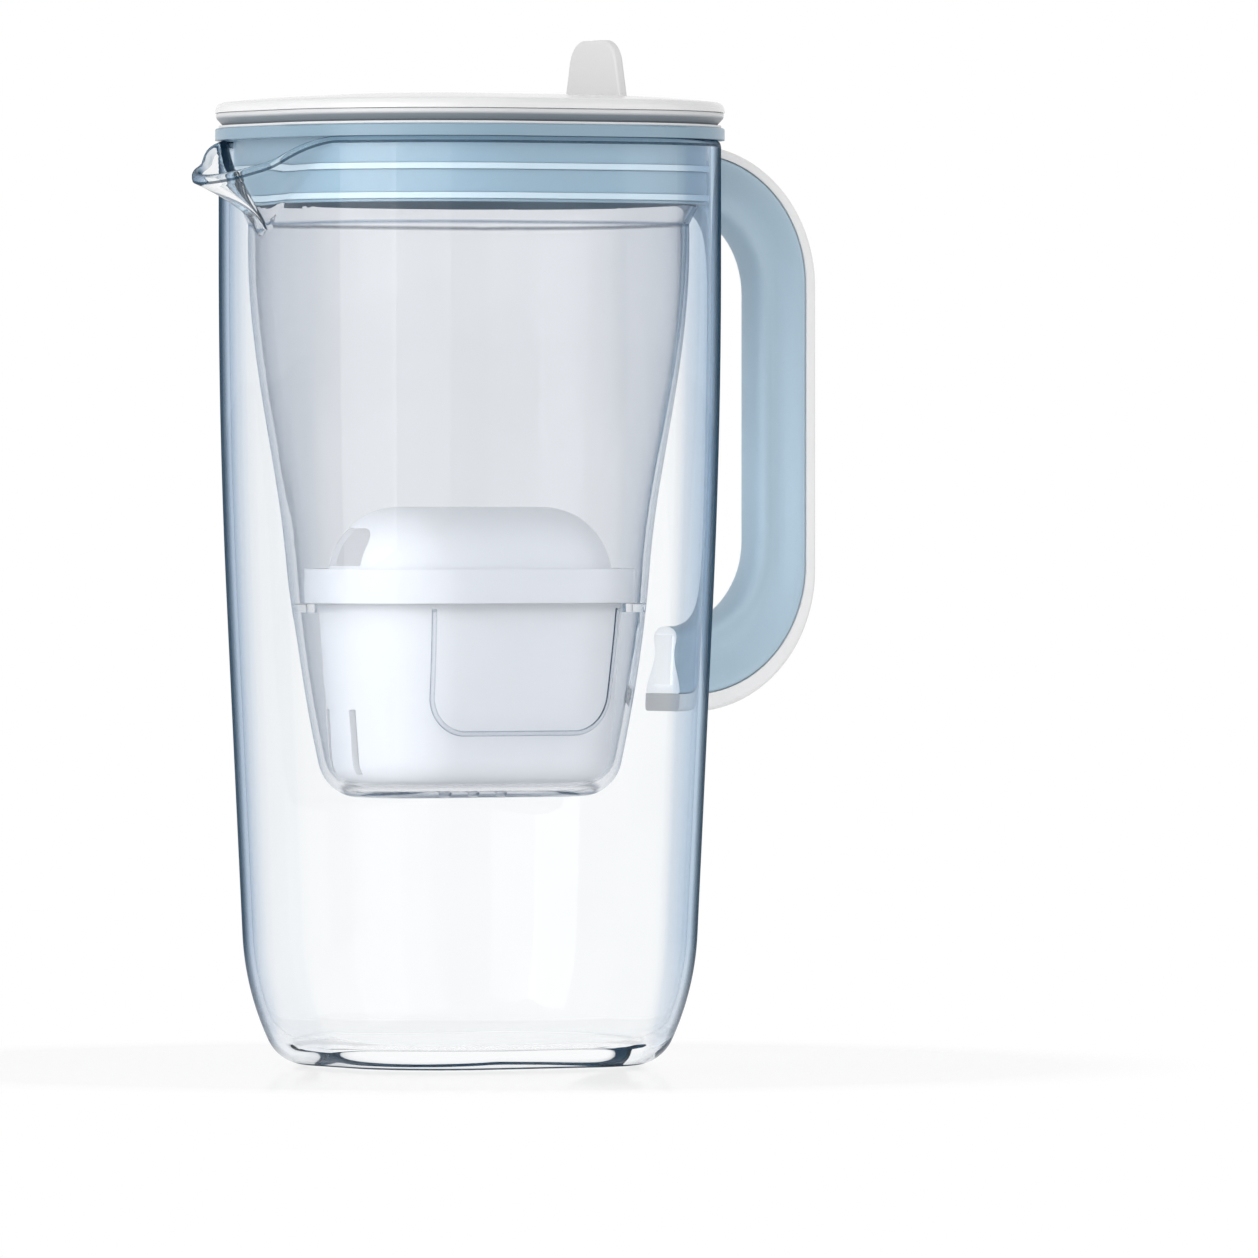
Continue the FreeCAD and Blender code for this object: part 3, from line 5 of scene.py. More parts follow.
import bmesh
import bpy
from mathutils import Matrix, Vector


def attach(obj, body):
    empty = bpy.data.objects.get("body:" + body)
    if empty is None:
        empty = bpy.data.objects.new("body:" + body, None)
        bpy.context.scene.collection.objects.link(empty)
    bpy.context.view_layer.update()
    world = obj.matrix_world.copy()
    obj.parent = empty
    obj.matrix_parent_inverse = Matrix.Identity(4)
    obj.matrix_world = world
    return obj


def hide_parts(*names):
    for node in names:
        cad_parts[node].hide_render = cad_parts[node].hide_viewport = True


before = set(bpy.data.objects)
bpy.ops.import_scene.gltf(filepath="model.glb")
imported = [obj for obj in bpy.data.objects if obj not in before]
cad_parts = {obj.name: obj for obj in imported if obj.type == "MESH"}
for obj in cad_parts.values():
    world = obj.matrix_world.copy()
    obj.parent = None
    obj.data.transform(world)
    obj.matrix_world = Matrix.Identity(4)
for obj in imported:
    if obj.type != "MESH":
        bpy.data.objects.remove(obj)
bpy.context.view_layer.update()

MM = 0.001

# The glass jug, in millimetres. Radii are what the wall adds to the flats of its plan. RIM_UPRIGHT
# turns the rim's rounding from the lean of the two skins towards upright.
JUG_FLATS = (34.0, 24.0)
RIM_RADIUS = 50.0
RIM_HEIGHT = 260.0
UPRIGHT_FROM = 225.0
BOW_RADIUS = 2000.0
WALL_LEAN = math.radians(2.69)
HEEL_RADIUS = 80.0
HEEL_CENTRE = (-36.55, 40.45)
FOOT_RADIUS = 12.0
GLASS_WALL = 2.9
GLASS_FLOOR = 6.0
RIM_ROUND = 2.0
RIM_UPRIGHT = Vector((0.0, 0.0, 3.0))
JUG_FLAT_STEPS = 20
JUG_CORNER_STEPS = 40
FLOOR_RINGS = 5
FOOT_ROWS = 14
SIDE_ROWS = 16
CROWN_ROWS = 30
RIM_ROWS = 8
FOOT_LINE_ROWS = 4
OUTSIDE, INSIDE, RIM, LINED = range(4)

# The spout is a rounded V that grows out of the spout end with height and flares at its lip. On the
# inner skin it lies further in and higher, which leaves the wall its thickness. The last two values
# leave out the columns that look away from the spout, and flanks that a column only grazes.
SPOUT_FROM = 232.8
SPOUT_REACH = 22.2
SPOUT_RISE = 16.0
SPOUT_NOSE = 18.0
SPOUT_HALF_WIDTH = 36.0
SPOUT_DEPTH = RIM_HEIGHT - SPOUT_FROM
SPOUT_BACK = 13.0
SPOUT_FLARE = 0.2
SPOUT_BLEND = 3.0
SPOUT_INNER_SHIFT = 1.68
SPOUT_INNER_LIFT = 2.16
LIP_SLOPE = math.tan(math.radians(30.0))
LIP_BEND = 4.0
LIP_HALVINGS = 40
SPOUT_COLUMNS_TO = 0.2
FLANK_FACES_LEAST = 0.05

# The handle's grip in side view, and its section from the finger side to the back.
GRIP_TOP = 256.7
GRIP_LOW = 104.0
GRIP_BACK = 104.2
GRIP_BACK_ROUND = 36.5
GRIP_INNER = 91.0
GRIP_INNER_TOP = 242.0
GRIP_INNER_LOW = 123.0
GRIP_INNER_ROUND = 25.0
GRIP_END_STEPS = 8
GRIP_BEND_STEPS = 18
GRIP_BACK_STEPS = 24
BOND_GAP = 0.6
GRIP_SECTION = (
    (0.0, 0.0), (0.01, 2.6), (0.04, 4.6), (0.09, 6.0), (0.15, 6.6), (0.21, 6.5), (0.28, 6.05), (0.36, 5.7),
    (0.44, 5.7), (0.53, 6.15), (0.63, 7.0), (0.74, 8.2), (0.84, 9.2), (0.92, 9.75), (0.965, 9.8),
    (0.99, 9.5), (1.0, 9.0), (1.0, 4.5),
)

# The hopper's pocket, and the shield-shaped ridge on its near side.
POCKET_FLATS = (38.0, 2.0)
POCKET_BOW = 400.0
POCKET_BOW_CENTRE = (-364.98, 171.12)
SHIELD_HALF_TOP = 29.5
SHIELD_HALF_FOOT = 28.0
SHIELD_TOP = 128.6
SHIELD_FOOT = 93.6
SHIELD_ROUND = 11.0
SHIELD_BEND_STEPS = 16
SHIELD_STEP = 2.0
SHIELD_SECTION = ((-0.75, -0.1), (-0.5, 0.38), (0.0, 0.6), (0.5, 0.38), (0.75, -0.1))

# The lid's base as (radius, height, rounding): a skirt inside the collar, a neck on the seal, and
# the band that shows.
LID_FLAT_STEPS = 8
LID_CORNER_STEPS = 28
LID_BASE_PROFILE = (
    (41.5, 264.1, 0.4), (41.5, 260.3, 0.5), (43.3, 260.3, 0.5), (43.3, 264.1, 0.3),
    (48.6, 264.1, 0.1), (49.2, 264.6, 0.4), (50.7, 266.3, 1.2), (50.7, 267.6, 0.25),
    (46.8, 267.6, 0.1), (46.8, 268.8, 0.2),
)


class Wire:
    """A node's output. A sum on wires adds the Math nodes that work it out."""

    def __init__(self, finish, socket):
        self.finish = finish
        self.socket = socket

    def work(self, operation, *values):
        return self.finish.node("Math", {"operation": operation}, dict(enumerate(values)))

    def __add__(self, other):
        return self.work("ADD", self, other)

    def __sub__(self, other):
        return self.work("SUBTRACT", self, other)

    def __rsub__(self, other):
        return self.work("SUBTRACT", other, self)

    def __mul__(self, other):
        return self.work("MULTIPLY", self, other)

    def __abs__(self):
        return self.work("ABSOLUTE", self)

    def larger(self, other):
        return self.work("MAXIMUM", self, other)

    __radd__ = __add__
    __rmul__ = __mul__


class Finish:
    """One surface finish, or the world: its nodes, and what shows at its end."""

    def __init__(self, name, owner=None, end="OutputMaterial"):
        self.owner = owner or bpy.data.materials.new(name)
        self.owner.use_nodes = True
        self.tree = self.owner.node_tree
        self.tree.nodes.clear()
        self.end = end

    def node(self, kind, settings=None, sockets=None, output=0):
        """Any node: its settings first, then a value or a wire for each socket."""
        node = self.tree.nodes.new("ShaderNode" + kind)
        for name, value in (settings or {}).items():
            if name == "stops":
                lay_stops(node.color_ramp, value)
            else:
                setattr(node, name, value)
        for key, value in (sockets or {}).items():
            if isinstance(value, Wire):
                self.tree.links.new(value.socket, node.inputs[key])
            else:
                node.inputs[key].default_value = value
        return Wire(self, node.outputs[output]) if node.outputs else None

    def blend(self, first, second, amount):
        """A colour between two colours."""
        return self.node("Mix", {"data_type": "RGBA"}, {0: amount, 6: first, 7: second}, output=2)

    def place(self):
        """Where a point lies on its piece, in metres."""
        return self.node("TexCoord", output="Object")

    def noise(self, scale, detail=3.0, roughness=0.5):
        sockets = {"Vector": self.place(), "Scale": scale, "Detail": detail, "Roughness": roughness}
        return self.node("TexNoise", sockets=sockets, output="Fac")

    def ramp(self, amount, stops):
        """An amount drawn through a curve of (from, to) stops."""
        greys = [(place, grey(value)) for place, value in stops]
        return self.node("ValToRGB", {"stops": greys}, {"Fac": amount})

    def fade(self, value, start, end):
        """0 up to a start and 1 from an end, with a soft change between them."""
        sockets = {"Value": value, "From Min": start, "From Max": end}
        return self.node("MapRange", {"interpolation_type": "SMOOTHSTEP"}, sockets, output="Result")

    def normal(self):
        return self.node("NewGeometry", output="Normal")

    def height(self, vector):
        """How high a place lies, or how far up a direction points."""
        return self.node("SeparateXYZ", sockets={"Vector": vector}, output="Z")

    def ray(self, kind):
        """1 on one kind of ray, and 0 on the others."""
        return self.node("LightPath", output=kind)

    def bump(self, height, depth, **sockets):
        return self.node("Bump", sockets={"Height": height, "Distance": depth, **sockets})

    def show(self, shader):
        """The finished material or world, with a shader at its end."""
        self.node(self.end, sockets={"Surface": shader})
        return self.owner


def lay_stops(ramp, stops):
    """The (place, colour) stops of a colour ramp."""
    while len(ramp.elements) < len(stops):
        ramp.elements.new(1.0)
    for element, (place, shade) in zip(ramp.elements, stops):
        element.position = place
        element.color = shade


def colour(red, green, blue):
    return (red, green, blue, 1.0)


def grey(value):
    return colour(value, value, value)


# What all clear finishes share, and the corner of the glass whose painted edge shade is wider.
CLEAR_IOR = 1.1
CLEAR_COAT_IOR = 1.5
CLEAR_COAT_ROUGHNESS = 0.02
STREAK_SCALE = 35.0
STREAK_SHARE = 0.975
RIPPLE_SCALE = 55.0
RIPPLE_DEPTH = 0.000004
SHADED_SIDE = (math.sqrt(0.5), -math.sqrt(0.5), 0.0)
DEEP_FROM = 0.76
DEEP_TO = 0.96


def clear_finish(
        name, body, edge, line_shade, edge_stops, line_stops, shadow, gloss,
        flat_clear=0.0, front_only=0.0, deepen=0.0, beads=()):
    """A clear material with painted edge shade and a painted dark line, that lets the lamps through.

    Where flat_clear is 1, level faces such as a floor stay clear at any angle. Where front_only is 1,
    the line shows on the near side alone. deepen widens the painted edge shade on the corner that
    looks to SHADED_SIDE, and beads are painted dark lines round the piece: (height, half width, strength).
    """
    finish = Finish(name)
    facing = finish.node("LayerWeight", sockets={"Blend": 0.5}, output="Facing")
    normal = finish.normal()
    upright = 1.0 - abs(finish.height(normal)) * flat_clear
    faint = colour(*(value * STREAK_SHARE for value in body[:3]))
    streaked = finish.blend(body, faint, finish.noise(STREAK_SCALE))
    side = finish.node("VectorMath", {"operation": "DOT_PRODUCT"}, {0: normal, 1: SHADED_SIDE}, output="Value")
    # Painted shade: walls darken towards the edge colour edge on, wider on the corner that looks to
    # SHADED_SIDE.
    turned = facing + finish.fade(side, DEEP_FROM, DEEP_TO) * deepen
    behind = finish.node("NewGeometry", output="Backfacing")
    shell = finish.node("BsdfPrincipled", sockets={
        "Base Color": finish.blend(streaked, edge, finish.ramp(turned, edge_stops) * upright),
        "Roughness": 0.0,
        "IOR": CLEAR_IOR,
        "Transmission Weight": 1.0,
        "Coat Weight": (1.0 - behind) * gloss,
        "Coat Roughness": CLEAR_COAT_ROUGHNESS,
        "Coat IOR": CLEAR_COAT_IOR,
        "Normal": finish.bump(finish.noise(RIPPLE_SCALE, detail=1.0), RIPPLE_DEPTH),
    })
    # The outline is a painted dark line where the walls turn edge on; beads add painted dark rings.
    outline = finish.node("BsdfDiffuse", sockets={"Color": line_shade})
    line = finish.ramp(facing, line_stops) * upright * (1.0 - behind * front_only)
    up = finish.height(finish.place())
    for height, half, strength in beads:
        near = 1.0 - abs(up - height * MM) * (1.0 / (half * MM))
        line = line + near.larger(0.0) * strength
    walled = finish.node("MixShader", sockets={"Fac": line, 1: shell, 2: outline})
    passing = finish.node("BsdfTransparent", sockets={"Color": shadow})
    return finish.show(finish.node("MixShader", sockets={
        "Fac": finish.ray("Is Shadow Ray"), 1: walled, 2: passing,
    }))


# What all moulded finishes share.
MOULDED_IOR = 1.46
MOULDED_COAT_ROUGHNESS = 0.08
CLOUD_SCALE = 28.0
CLOUDS_ROUGHEN = 0.04
GRAIN_ROUGHENS = 0.06
EDGE_SAMPLES = 4
# How strongly painted shade darkens faces that look down, by how far down they look.
UNDER_SHADE_STOPS = ((0.0, 0.0), (0.25, 0.35), (0.7, 1.0))


def moulded_finish(
        name, body, shade, roughness,
        grain=900.0, depth=0.00003, coat=0.0, soften=0.0004, painted_glow=0.0, under=None):
    """Moulded plastic: faint cloudiness, a fine grain, and edges that catch the light softly.

    glow is painted light: the piece gives off light in its own colour. under is painted shade,
    the colour of faces that look down.
    """
    finish = Finish(name)
    clouds = finish.noise(CLOUD_SCALE, detail=4.0)
    fine = finish.noise(grain, detail=2.0)
    tint = finish.blend(body, shade, clouds)
    # Painted shade: faces that look down blend towards the under colour.
    if under:
        tint = finish.blend(tint, under, finish.ramp(finish.height(finish.normal()) * -1.0, UNDER_SHADE_STOPS))
    smoothest = roughness - (GRAIN_ROUGHENS + CLOUDS_ROUGHEN) / 2
    edges = finish.node("Bevel", {"samples": EDGE_SAMPLES}, {"Radius": soften})
    return finish.show(finish.node("BsdfPrincipled", sockets={
        "Base Color": tint,
        "Roughness": smoothest + fine * GRAIN_ROUGHENS + clouds * CLOUDS_ROUGHEN,
        "IOR": MOULDED_IOR,
        "Coat Weight": coat,
        "Coat Roughness": MOULDED_COAT_ROUGHNESS,
        # The emission is the glow: painted light in the piece's own colour.
        "Emission Color": tint,
        "Emission Strength": painted_glow,
        "Normal": finish.bump(fine, depth, Normal=edges),
    }))


BEAD_SCALE = 900.0
BEAD_DEPTH = 0.0004
BEAD_ROUGHNESS = 0.6
BEAD_RESIN = colour(0.78, 0.75, 0.68)
BEAD_CARBON = colour(0.10, 0.10, 0.10)
CARBON_STOPS = ((0.78, 0.0), (0.80, 1.0))


def bed_finish():
    """Pale resin beads with dark granules among them, seen only through the screens."""
    finish = Finish("filter_beads")
    sockets = {"Vector": finish.place(), "Scale": BEAD_SCALE}
    beads = finish.node("TexVoronoi", sockets=sockets, output="Distance")
    kinds = finish.node("TexVoronoi", sockets=sockets, output="Color")
    kind = finish.node("SeparateXYZ", sockets={"Vector": kinds}, output="X")
    return finish.show(finish.node("BsdfPrincipled", sockets={
        "Base Color": finish.blend(BEAD_RESIN, BEAD_CARBON, finish.ramp(kind, CARBON_STOPS)),
        "Roughness": BEAD_ROUGHNESS,
        "Normal": finish.bump(1.0 - beads, BEAD_DEPTH),
    }))


def mesh_piece(name, points, faces, materials):
    """A smooth piece from points in millimetres, with its faces turned outwards."""
    mesh = bpy.data.meshes.new(name)
    mesh.from_pydata([Vector(point) * MM for point in points], [], faces)
    shape = bmesh.new()
    shape.from_mesh(mesh)
    bmesh.ops.recalc_face_normals(shape, faces=shape.faces)
    shape.to_mesh(mesh)
    shape.free()
    for face in mesh.polygons:
        face.use_smooth = True
    for material in materials:
        mesh.materials.append(material)
    piece = bpy.data.objects.new(name, mesh)
    bpy.context.scene.collection.objects.link(piece)
    return piece


def dress(piece, body, slot, *nodes):
    """A piece rides on a body and stands for CAD nodes; its slot is not used."""
    if nodes:
        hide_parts(*nodes)
    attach(piece, body)


def oblong(flats, flat_steps, corner_steps):
    """Columns round an oblong plan: a point on its flats, and the direction it grows in."""
    columns = []
    for turn in range(4):
        angle = turn * math.pi / 2
        out = Vector((math.cos(angle), math.sin(angle)))
        along = Vector((-out.y, out.x))
        half_out, half_along = (flats[turn % 2] / 2, flats[1 - turn % 2] / 2)
        for step in range(flat_steps):
            columns.append((out * half_out + along * half_along * (2 * step / flat_steps - 1), out))
        corner = out * half_out + along * half_along
        for step in range(corner_steps):
            turned = angle + math.pi / 2 * step / corner_steps
            columns.append((corner, Vector((math.cos(turned), math.sin(turned)))))
    return columns


def skin(rings):
    """Points and faces over a row of rings; a ring of one point closes an end."""
    points = [point for ring in rings for point in ring]
    starts = [sum(len(ring) for ring in rings[:index]) for index in range(len(rings))]
    faces = []
    for lower in range(len(rings) - 1):
        upper = lower + 1
        count = max(len(rings[lower]), len(rings[upper]))
        for step in range(count):
            after = (step + 1) % count
            corners = []
            for ring, order in ((lower, (step, after)), (upper, (after, step))):
                if len(rings[ring]) == 1:
                    corners.append(starts[ring])
                else:
                    corners.extend(starts[ring] + place for place in order)
            faces.append(corners)
    return points, faces


def middle_of(ring):
    """A ring of one point, in the middle of a ring."""
    return [sum(ring, Vector((0, 0, 0))) / len(ring)]


def arc(centre, radius, first, last, steps):
    """Points of an arc in (radius, height), from one angle to another."""
    turns = [first + (last - first) * step / steps for step in range(steps + 1)]
    return [(centre[0] + radius * math.cos(turn), centre[1] + radius * math.sin(turn)) for turn in turns]


def straight(start, end, steps):
    """Points on a line, with its start and without its end."""
    shares = [step / steps for step in range(steps)]
    return [tuple(a + (b - a) * share for a, b in zip(start, end)) for share in shares]


def softened(corners, steps=5):
    """An open profile of (x, y, rounding) corners with an arc at each corner between its ends."""
    points = [corners[0][:2]]
    for before, here, after in zip(corners, corners[1:], corners[2:]):
        spot = Vector(here[:2])
        towards = (Vector(before[:2]) - spot).normalized()
        onwards = (Vector(after[:2]) - spot).normalized()
        half = towards.angle(onwards) / 2
        back = here[2] / math.tan(half)
        centre = spot + (towards + onwards).normalized() * (here[2] / math.sin(half))
        first, last = spot + towards * back - centre, spot + onwards * back - centre
        start = math.atan2(first.y, first.x)
        sweep = (math.atan2(last.y, last.x) - start + math.pi) % (2 * math.pi) - math.pi
        points += arc(centre, here[2], start, start + sweep, steps)
    return points + [corners[-1][:2]]


def soft_larger(first, second, width):
    """The larger of two lengths, with a fillet where they meet."""
    overlap = max(width - abs(first - second), 0.0) / width
    return max(first, second) + overlap * overlap * width / 4


def wall_profile(inset, floor):
    """The jug's side as (radius, height) from the floor to where it stands upright."""
    heel = HEEL_RADIUS - inset
    foot_height = floor + FOOT_RADIUS
    turn = math.asin((HEEL_CENTRE[1] - foot_height) / (heel - FOOT_RADIUS))
    foot_centre = (HEEL_CENTRE[0] + (heel - FOOT_RADIUS) * math.cos(turn), foot_height)
    foot = arc(foot_centre, FOOT_RADIUS, -math.pi / 2, -turn, FOOT_ROWS)
    side = arc(HEEL_CENTRE, heel, -turn, -WALL_LEAN, SIDE_ROWS)
    bow = arc((RIM_RADIUS - BOW_RADIUS, UPRIGHT_FROM), BOW_RADIUS - inset, -WALL_LEAN, 0.0, SIDE_ROWS)
    return foot[:-1] + side[:-1] + straight(side[-1], bow[0], SIDE_ROWS) + bow


def wall_x(height):
    """Where the handle's ends meet the jug's side."""
    radius = RIM_RADIUS
    if height <= UPRIGHT_FROM:
        lean_top = UPRIGHT_FROM - BOW_RADIUS * math.sin(WALL_LEAN)
        bowed_in = BOW_RADIUS * (1 - math.cos(WALL_LEAN))
        radius -= bowed_in + (lean_top - height) * math.tan(WALL_LEAN)
    return JUG_FLATS[0] / 2 + radius + BOND_GAP


def spout_distance(column, height, shift, lift):
    """How far out the spout's V lies along a column at a height, or nothing."""
    point, out = column
    rise = height - SPOUT_FROM - lift
    if rise <= 0 or out.x > SPOUT_COLUMNS_TO:
        return 0.0
    apex = Vector((shift - JUG_FLATS[0] / 2 - RIM_RADIUS, 0.0))
    share = rise / SPOUT_RISE
    nose = SPOUT_NOSE * share
    reach = SPOUT_REACH * (share - SPOUT_FLARE * math.sin(math.pi * share))
    centre = apex - Vector((reach - nose, 0.0))
    side = 1.0 if point.y >= 0 else -1.0
    # The flank runs from the back of the V to touch the circle of the nose.
    back = apex + Vector((SPOUT_BACK, side * SPOUT_HALF_WIDTH)) * (rise / SPOUT_DEPTH)
    away = back - centre
    turn = math.atan2(abs(away.y), away.x) + math.acos(nose / away.length)
    flank = Vector((math.cos(turn), side * math.sin(turn)))
    facing = flank.dot(out)
    if facing < FLANK_FACES_LEAST:
        return 0.0
    distance = (nose - flank.dot(point - centre)) / facing
    place = point + out * distance
    if place.x > back.x:
        return 0.0
    # Past the touching point the nose's circle is the wall.
    if place.x < centre.x + nose * flank.x:
        offset = point - centre
        along = out.dot(offset)
        inside = along * along - offset.length_squared + nose * nose
        if inside >= 0:
            distance = math.sqrt(inside) - along
    return distance


def lip_height(x):
    """Height of the rim over a place along the jug: level, then falling to the spout's tip."""
    tip = -(JUG_FLATS[0] / 2 + RIM_RADIUS + SPOUT_REACH)
    fall = SPOUT_FROM + SPOUT_RISE + (x - tip) * LIP_SLOPE
    return -soft_larger(-RIM_HEIGHT, -fall, LIP_BEND)


def jug_side(column, height, radius, shift, lift):
    """A point of the upright wall or of the spout that grows out of it."""
    reach = soft_larger(radius, spout_distance(column, height, shift, lift), SPOUT_BLEND)
    place = column[0] + column[1] * reach
    return Vector((place.x, place.y, height))


def jug_top(column, radius, shift, lift):
    """Where a column's wall ends, a rim's rounding below the lip."""
    low, high = SPOUT_FROM, RIM_HEIGHT
    for halving in range(LIP_HALVINGS):
        middle = (low + high) / 2
        if lip_height(jug_side(column, middle, radius, shift, lift).x) > middle:
            low = middle
        else:
            high = middle
    return low - RIM_ROUND


def jug_skin(columns, inset, floor, shift, lift):
    """One skin of the jug, inner or outer, as rings from the middle of its floor to the lip."""
    profile = wall_profile(inset, floor)
    rings = [[Vector((0.0, 0.0, floor))]]
    foot = [point + out * profile[0][0] for point, out in columns]
    for step in range(1, FLOOR_RINGS):
        rings.append([Vector((*(point * (step / FLOOR_RINGS)), floor)) for point in foot])
    for radius, height in profile:
        rings.append([Vector((*(point + out * radius), height)) for point, out in columns])
    radius = RIM_RADIUS - inset
    tops = [jug_top(column, radius, shift, lift) for column in columns]
    for step in range(1, CROWN_ROWS + 1):
        share = step / CROWN_ROWS
        rings.append([
            jug_side(column, UPRIGHT_FROM + (top - UPRIGHT_FROM) * share, radius, shift, lift)
            for column, top in zip(columns, tops)
        ])
    return rings


def rounded_rim(outer, inner):
    """Rings of the half-round rim that carries the two skins on into each other."""
    rings = []
    for step in range(1, RIM_ROWS):
        turn = math.pi * step / RIM_ROWS
        ring = []
        for start, before, end, after in zip(outer[-1], outer[-2], inner[-1], inner[-2]):
            lean = (start - before).normalized() + (end - after).normalized() + RIM_UPRIGHT
            across = (start - end) / 2 * math.cos(turn)
            ring.append((start + end) / 2 + across + lean.normalized() * (RIM_ROUND * math.sin(turn)))
        rings.append(ring)
    return rings


def glass_jug(outside, inside, rim, line):
    """The jug's two skins and rounded rim, with a painted dark line under its rim and round its foot."""
    columns = oblong(JUG_FLATS, JUG_FLAT_STEPS, JUG_CORNER_STEPS)
    outer = jug_skin(columns, 0.0, 0.0, 0.0, 0.0)
    inner = jug_skin(columns, GLASS_WALL, GLASS_FLOOR, SPOUT_INNER_SHIFT, SPOUT_INNER_LIFT)
    rings = outer + rounded_rim(outer, inner) + inner[::-1]
    piece = mesh_piece("jug_glass_shell", *skin(rings), (outside, inside, rim, line))
    rim_row = len(outer) - 1
    line_rows = (*range(FLOOR_RINGS, FLOOR_RINGS + FOOT_LINE_ROWS), rim_row)
    for face in piece.data.polygons:
        row = face.index // len(columns)
        if row in line_rows:
            face.material_index = LINED
        elif row < rim_row:
            face.material_index = OUTSIDE
        else:
            face.material_index = RIM if row < rim_row + RIM_ROWS else INSIDE
    dress(piece, "jug", "jug_glass", "glass_jug")


def c_outline(top, low, back, rounding):
    """A C in side view: out along its top, down its back and in along its foot."""
    middle = back - rounding
    start, end = (wall_x(top), top), (wall_x(low), low)
    upper = arc((middle, top - rounding), rounding, math.pi / 2, 0.0, GRIP_BEND_STEPS)
    lower = arc((middle, low + rounding), rounding, 0.0, -math.pi / 2, GRIP_BEND_STEPS)
    outwards = straight(start, upper[0], GRIP_END_STEPS) + upper[:-1]
    inwards = lower[:-1] + straight(lower[-1], end, GRIP_END_STEPS)
    return outwards + straight(upper[-1], lower[0], GRIP_BACK_STEPS) + inwards + [end]


def handle_grip(material, end_material):
    """The grip's soft section, drawn along its C; its ends show through the glass with a painted glow."""
    fingers = c_outline(GRIP_INNER_TOP, GRIP_INNER_LOW, GRIP_INNER, GRIP_INNER_ROUND)
    back = c_outline(GRIP_TOP, GRIP_LOW, GRIP_BACK, GRIP_BACK_ROUND)
    loop = list(GRIP_SECTION) + [(share, -half) for share, half in GRIP_SECTION[:0:-1]]
    rings = []
    for start, end in zip(fingers, back):
        ring = []
        for share, half in loop:
            x, z = (a + (b - a) * share for a, b in zip(start, end))
            ring.append(Vector((x, half, z)))
        rings.append(ring)
    for ring in (rings[0], rings[-1]):
        for point in ring:
            point.x = wall_x(point.z)
    surface = skin([middle_of(rings[0])] + rings + [middle_of(rings[-1])])
    materials = (material, end_material)
    piece = mesh_piece("grip_moulding", *surface, materials)
    for face in (*piece.data.polygons[:len(loop)], *piece.data.polygons[-len(loop):]):
        face.material_index = materials.index(end_material)
        face.use_smooth = False
    dress(piece, "jug", "grip_blue", "handle_grip")


def pocket_point(along, height, proud):
    """A point on the near side of the hopper's pocket, or proud of it."""
    radius = POCKET_BOW_CENTRE[0] + math.sqrt(POCKET_BOW ** 2 - (POCKET_BOW_CENTRE[1] - height) ** 2)
    half = POCKET_FLATS[0] / 2
    turn = math.copysign(max(abs(along) - half, 0.0) / radius, along)
    x = max(-half, min(half, along)) + (radius + proud) * math.sin(turn)
    y = -POCKET_FLATS[1] / 2 - (radius + proud) * math.cos(turn)
    return Vector((x, y, height))


def shield_ridge(material):
    """The raised outline of a bare shield on the near side of the pocket."""
    corners = (
        (-SHIELD_HALF_TOP, SHIELD_TOP, 0), (-SHIELD_HALF_FOOT, SHIELD_FOOT, SHIELD_ROUND),
        (SHIELD_HALF_FOOT, SHIELD_FOOT, SHIELD_ROUND), (SHIELD_HALF_TOP, SHIELD_TOP, 0),
    )
    bends = [Vector(point) for point in softened(corners, SHIELD_BEND_STEPS)]
    path = []
    for start, end in zip(bends, bends[1:]):
        steps = max(1, int((end - start).length / SHIELD_STEP))
        path += [Vector(point) for point in straight(start, end, steps)]
    path.append(bends[-1])
    rings = []
    for index, spot in enumerate(path):
        run = (path[min(index + 1, len(path) - 1)] - path[max(index - 1, 0)]).normalized()
        across = Vector((-run.y, run.x))
        rings.append([pocket_point(*(spot + across * side), proud) for side, proud in SHIELD_SECTION])
    surface = skin([middle_of(rings[0])] + rings + [middle_of(rings[-1])])
    piece = mesh_piece("shield_ridge", *surface, (material,))
    dress(piece, "hopper", "funnel_clear")


def lid_base(material):
    """The lid's grey band with its rounded edges and the undercut below it."""
    columns = oblong(JUG_FLATS, LID_FLAT_STEPS, LID_CORNER_STEPS)
    profile = softened(LID_BASE_PROFILE)
    rings = [[Vector((0, 0, profile[0][1]))]]
    for radius, height in profile:
        rings.append([Vector((*(point + out * radius), height)) for point, out in columns])
    rings.append([Vector((0, 0, profile[-1][1]))])
    piece = mesh_piece("lid_band_moulding", *skin(rings), (material,))
    dress(piece, "lid", "lid_grey", "lid_base")


# The clear finishes. Stops give a wall's painted shade, from face on at 0 to edge on at 1.
GLASS_EDGE = (
    (0.0, 0.0), (0.42, 0.02), (0.50, 0.06), (0.56, 0.22),
    (0.63, 0.54), (0.72, 0.68), (0.82, 0.78), (1.0, 0.90),
)
GLASS_LINE = ((0.0, 0.0), (0.69, 0.0), (0.76, 0.64), (0.83, 0.93), (1.0, 0.97))
GLASS_INSIDE_EDGE = ((0.0, 0.0), (0.60, 0.02), (0.80, 0.20), (0.93, 0.50), (1.0, 0.70))
GLASS_INSIDE_LINE = ((0.0, 0.0), (0.88, 0.0), (0.95, 0.35), (1.0, 0.75))
RIM_LINE = ((0.0, 0.0), (0.50, 0.0), (0.75, 0.50), (0.92, 0.90), (1.0, 0.95))
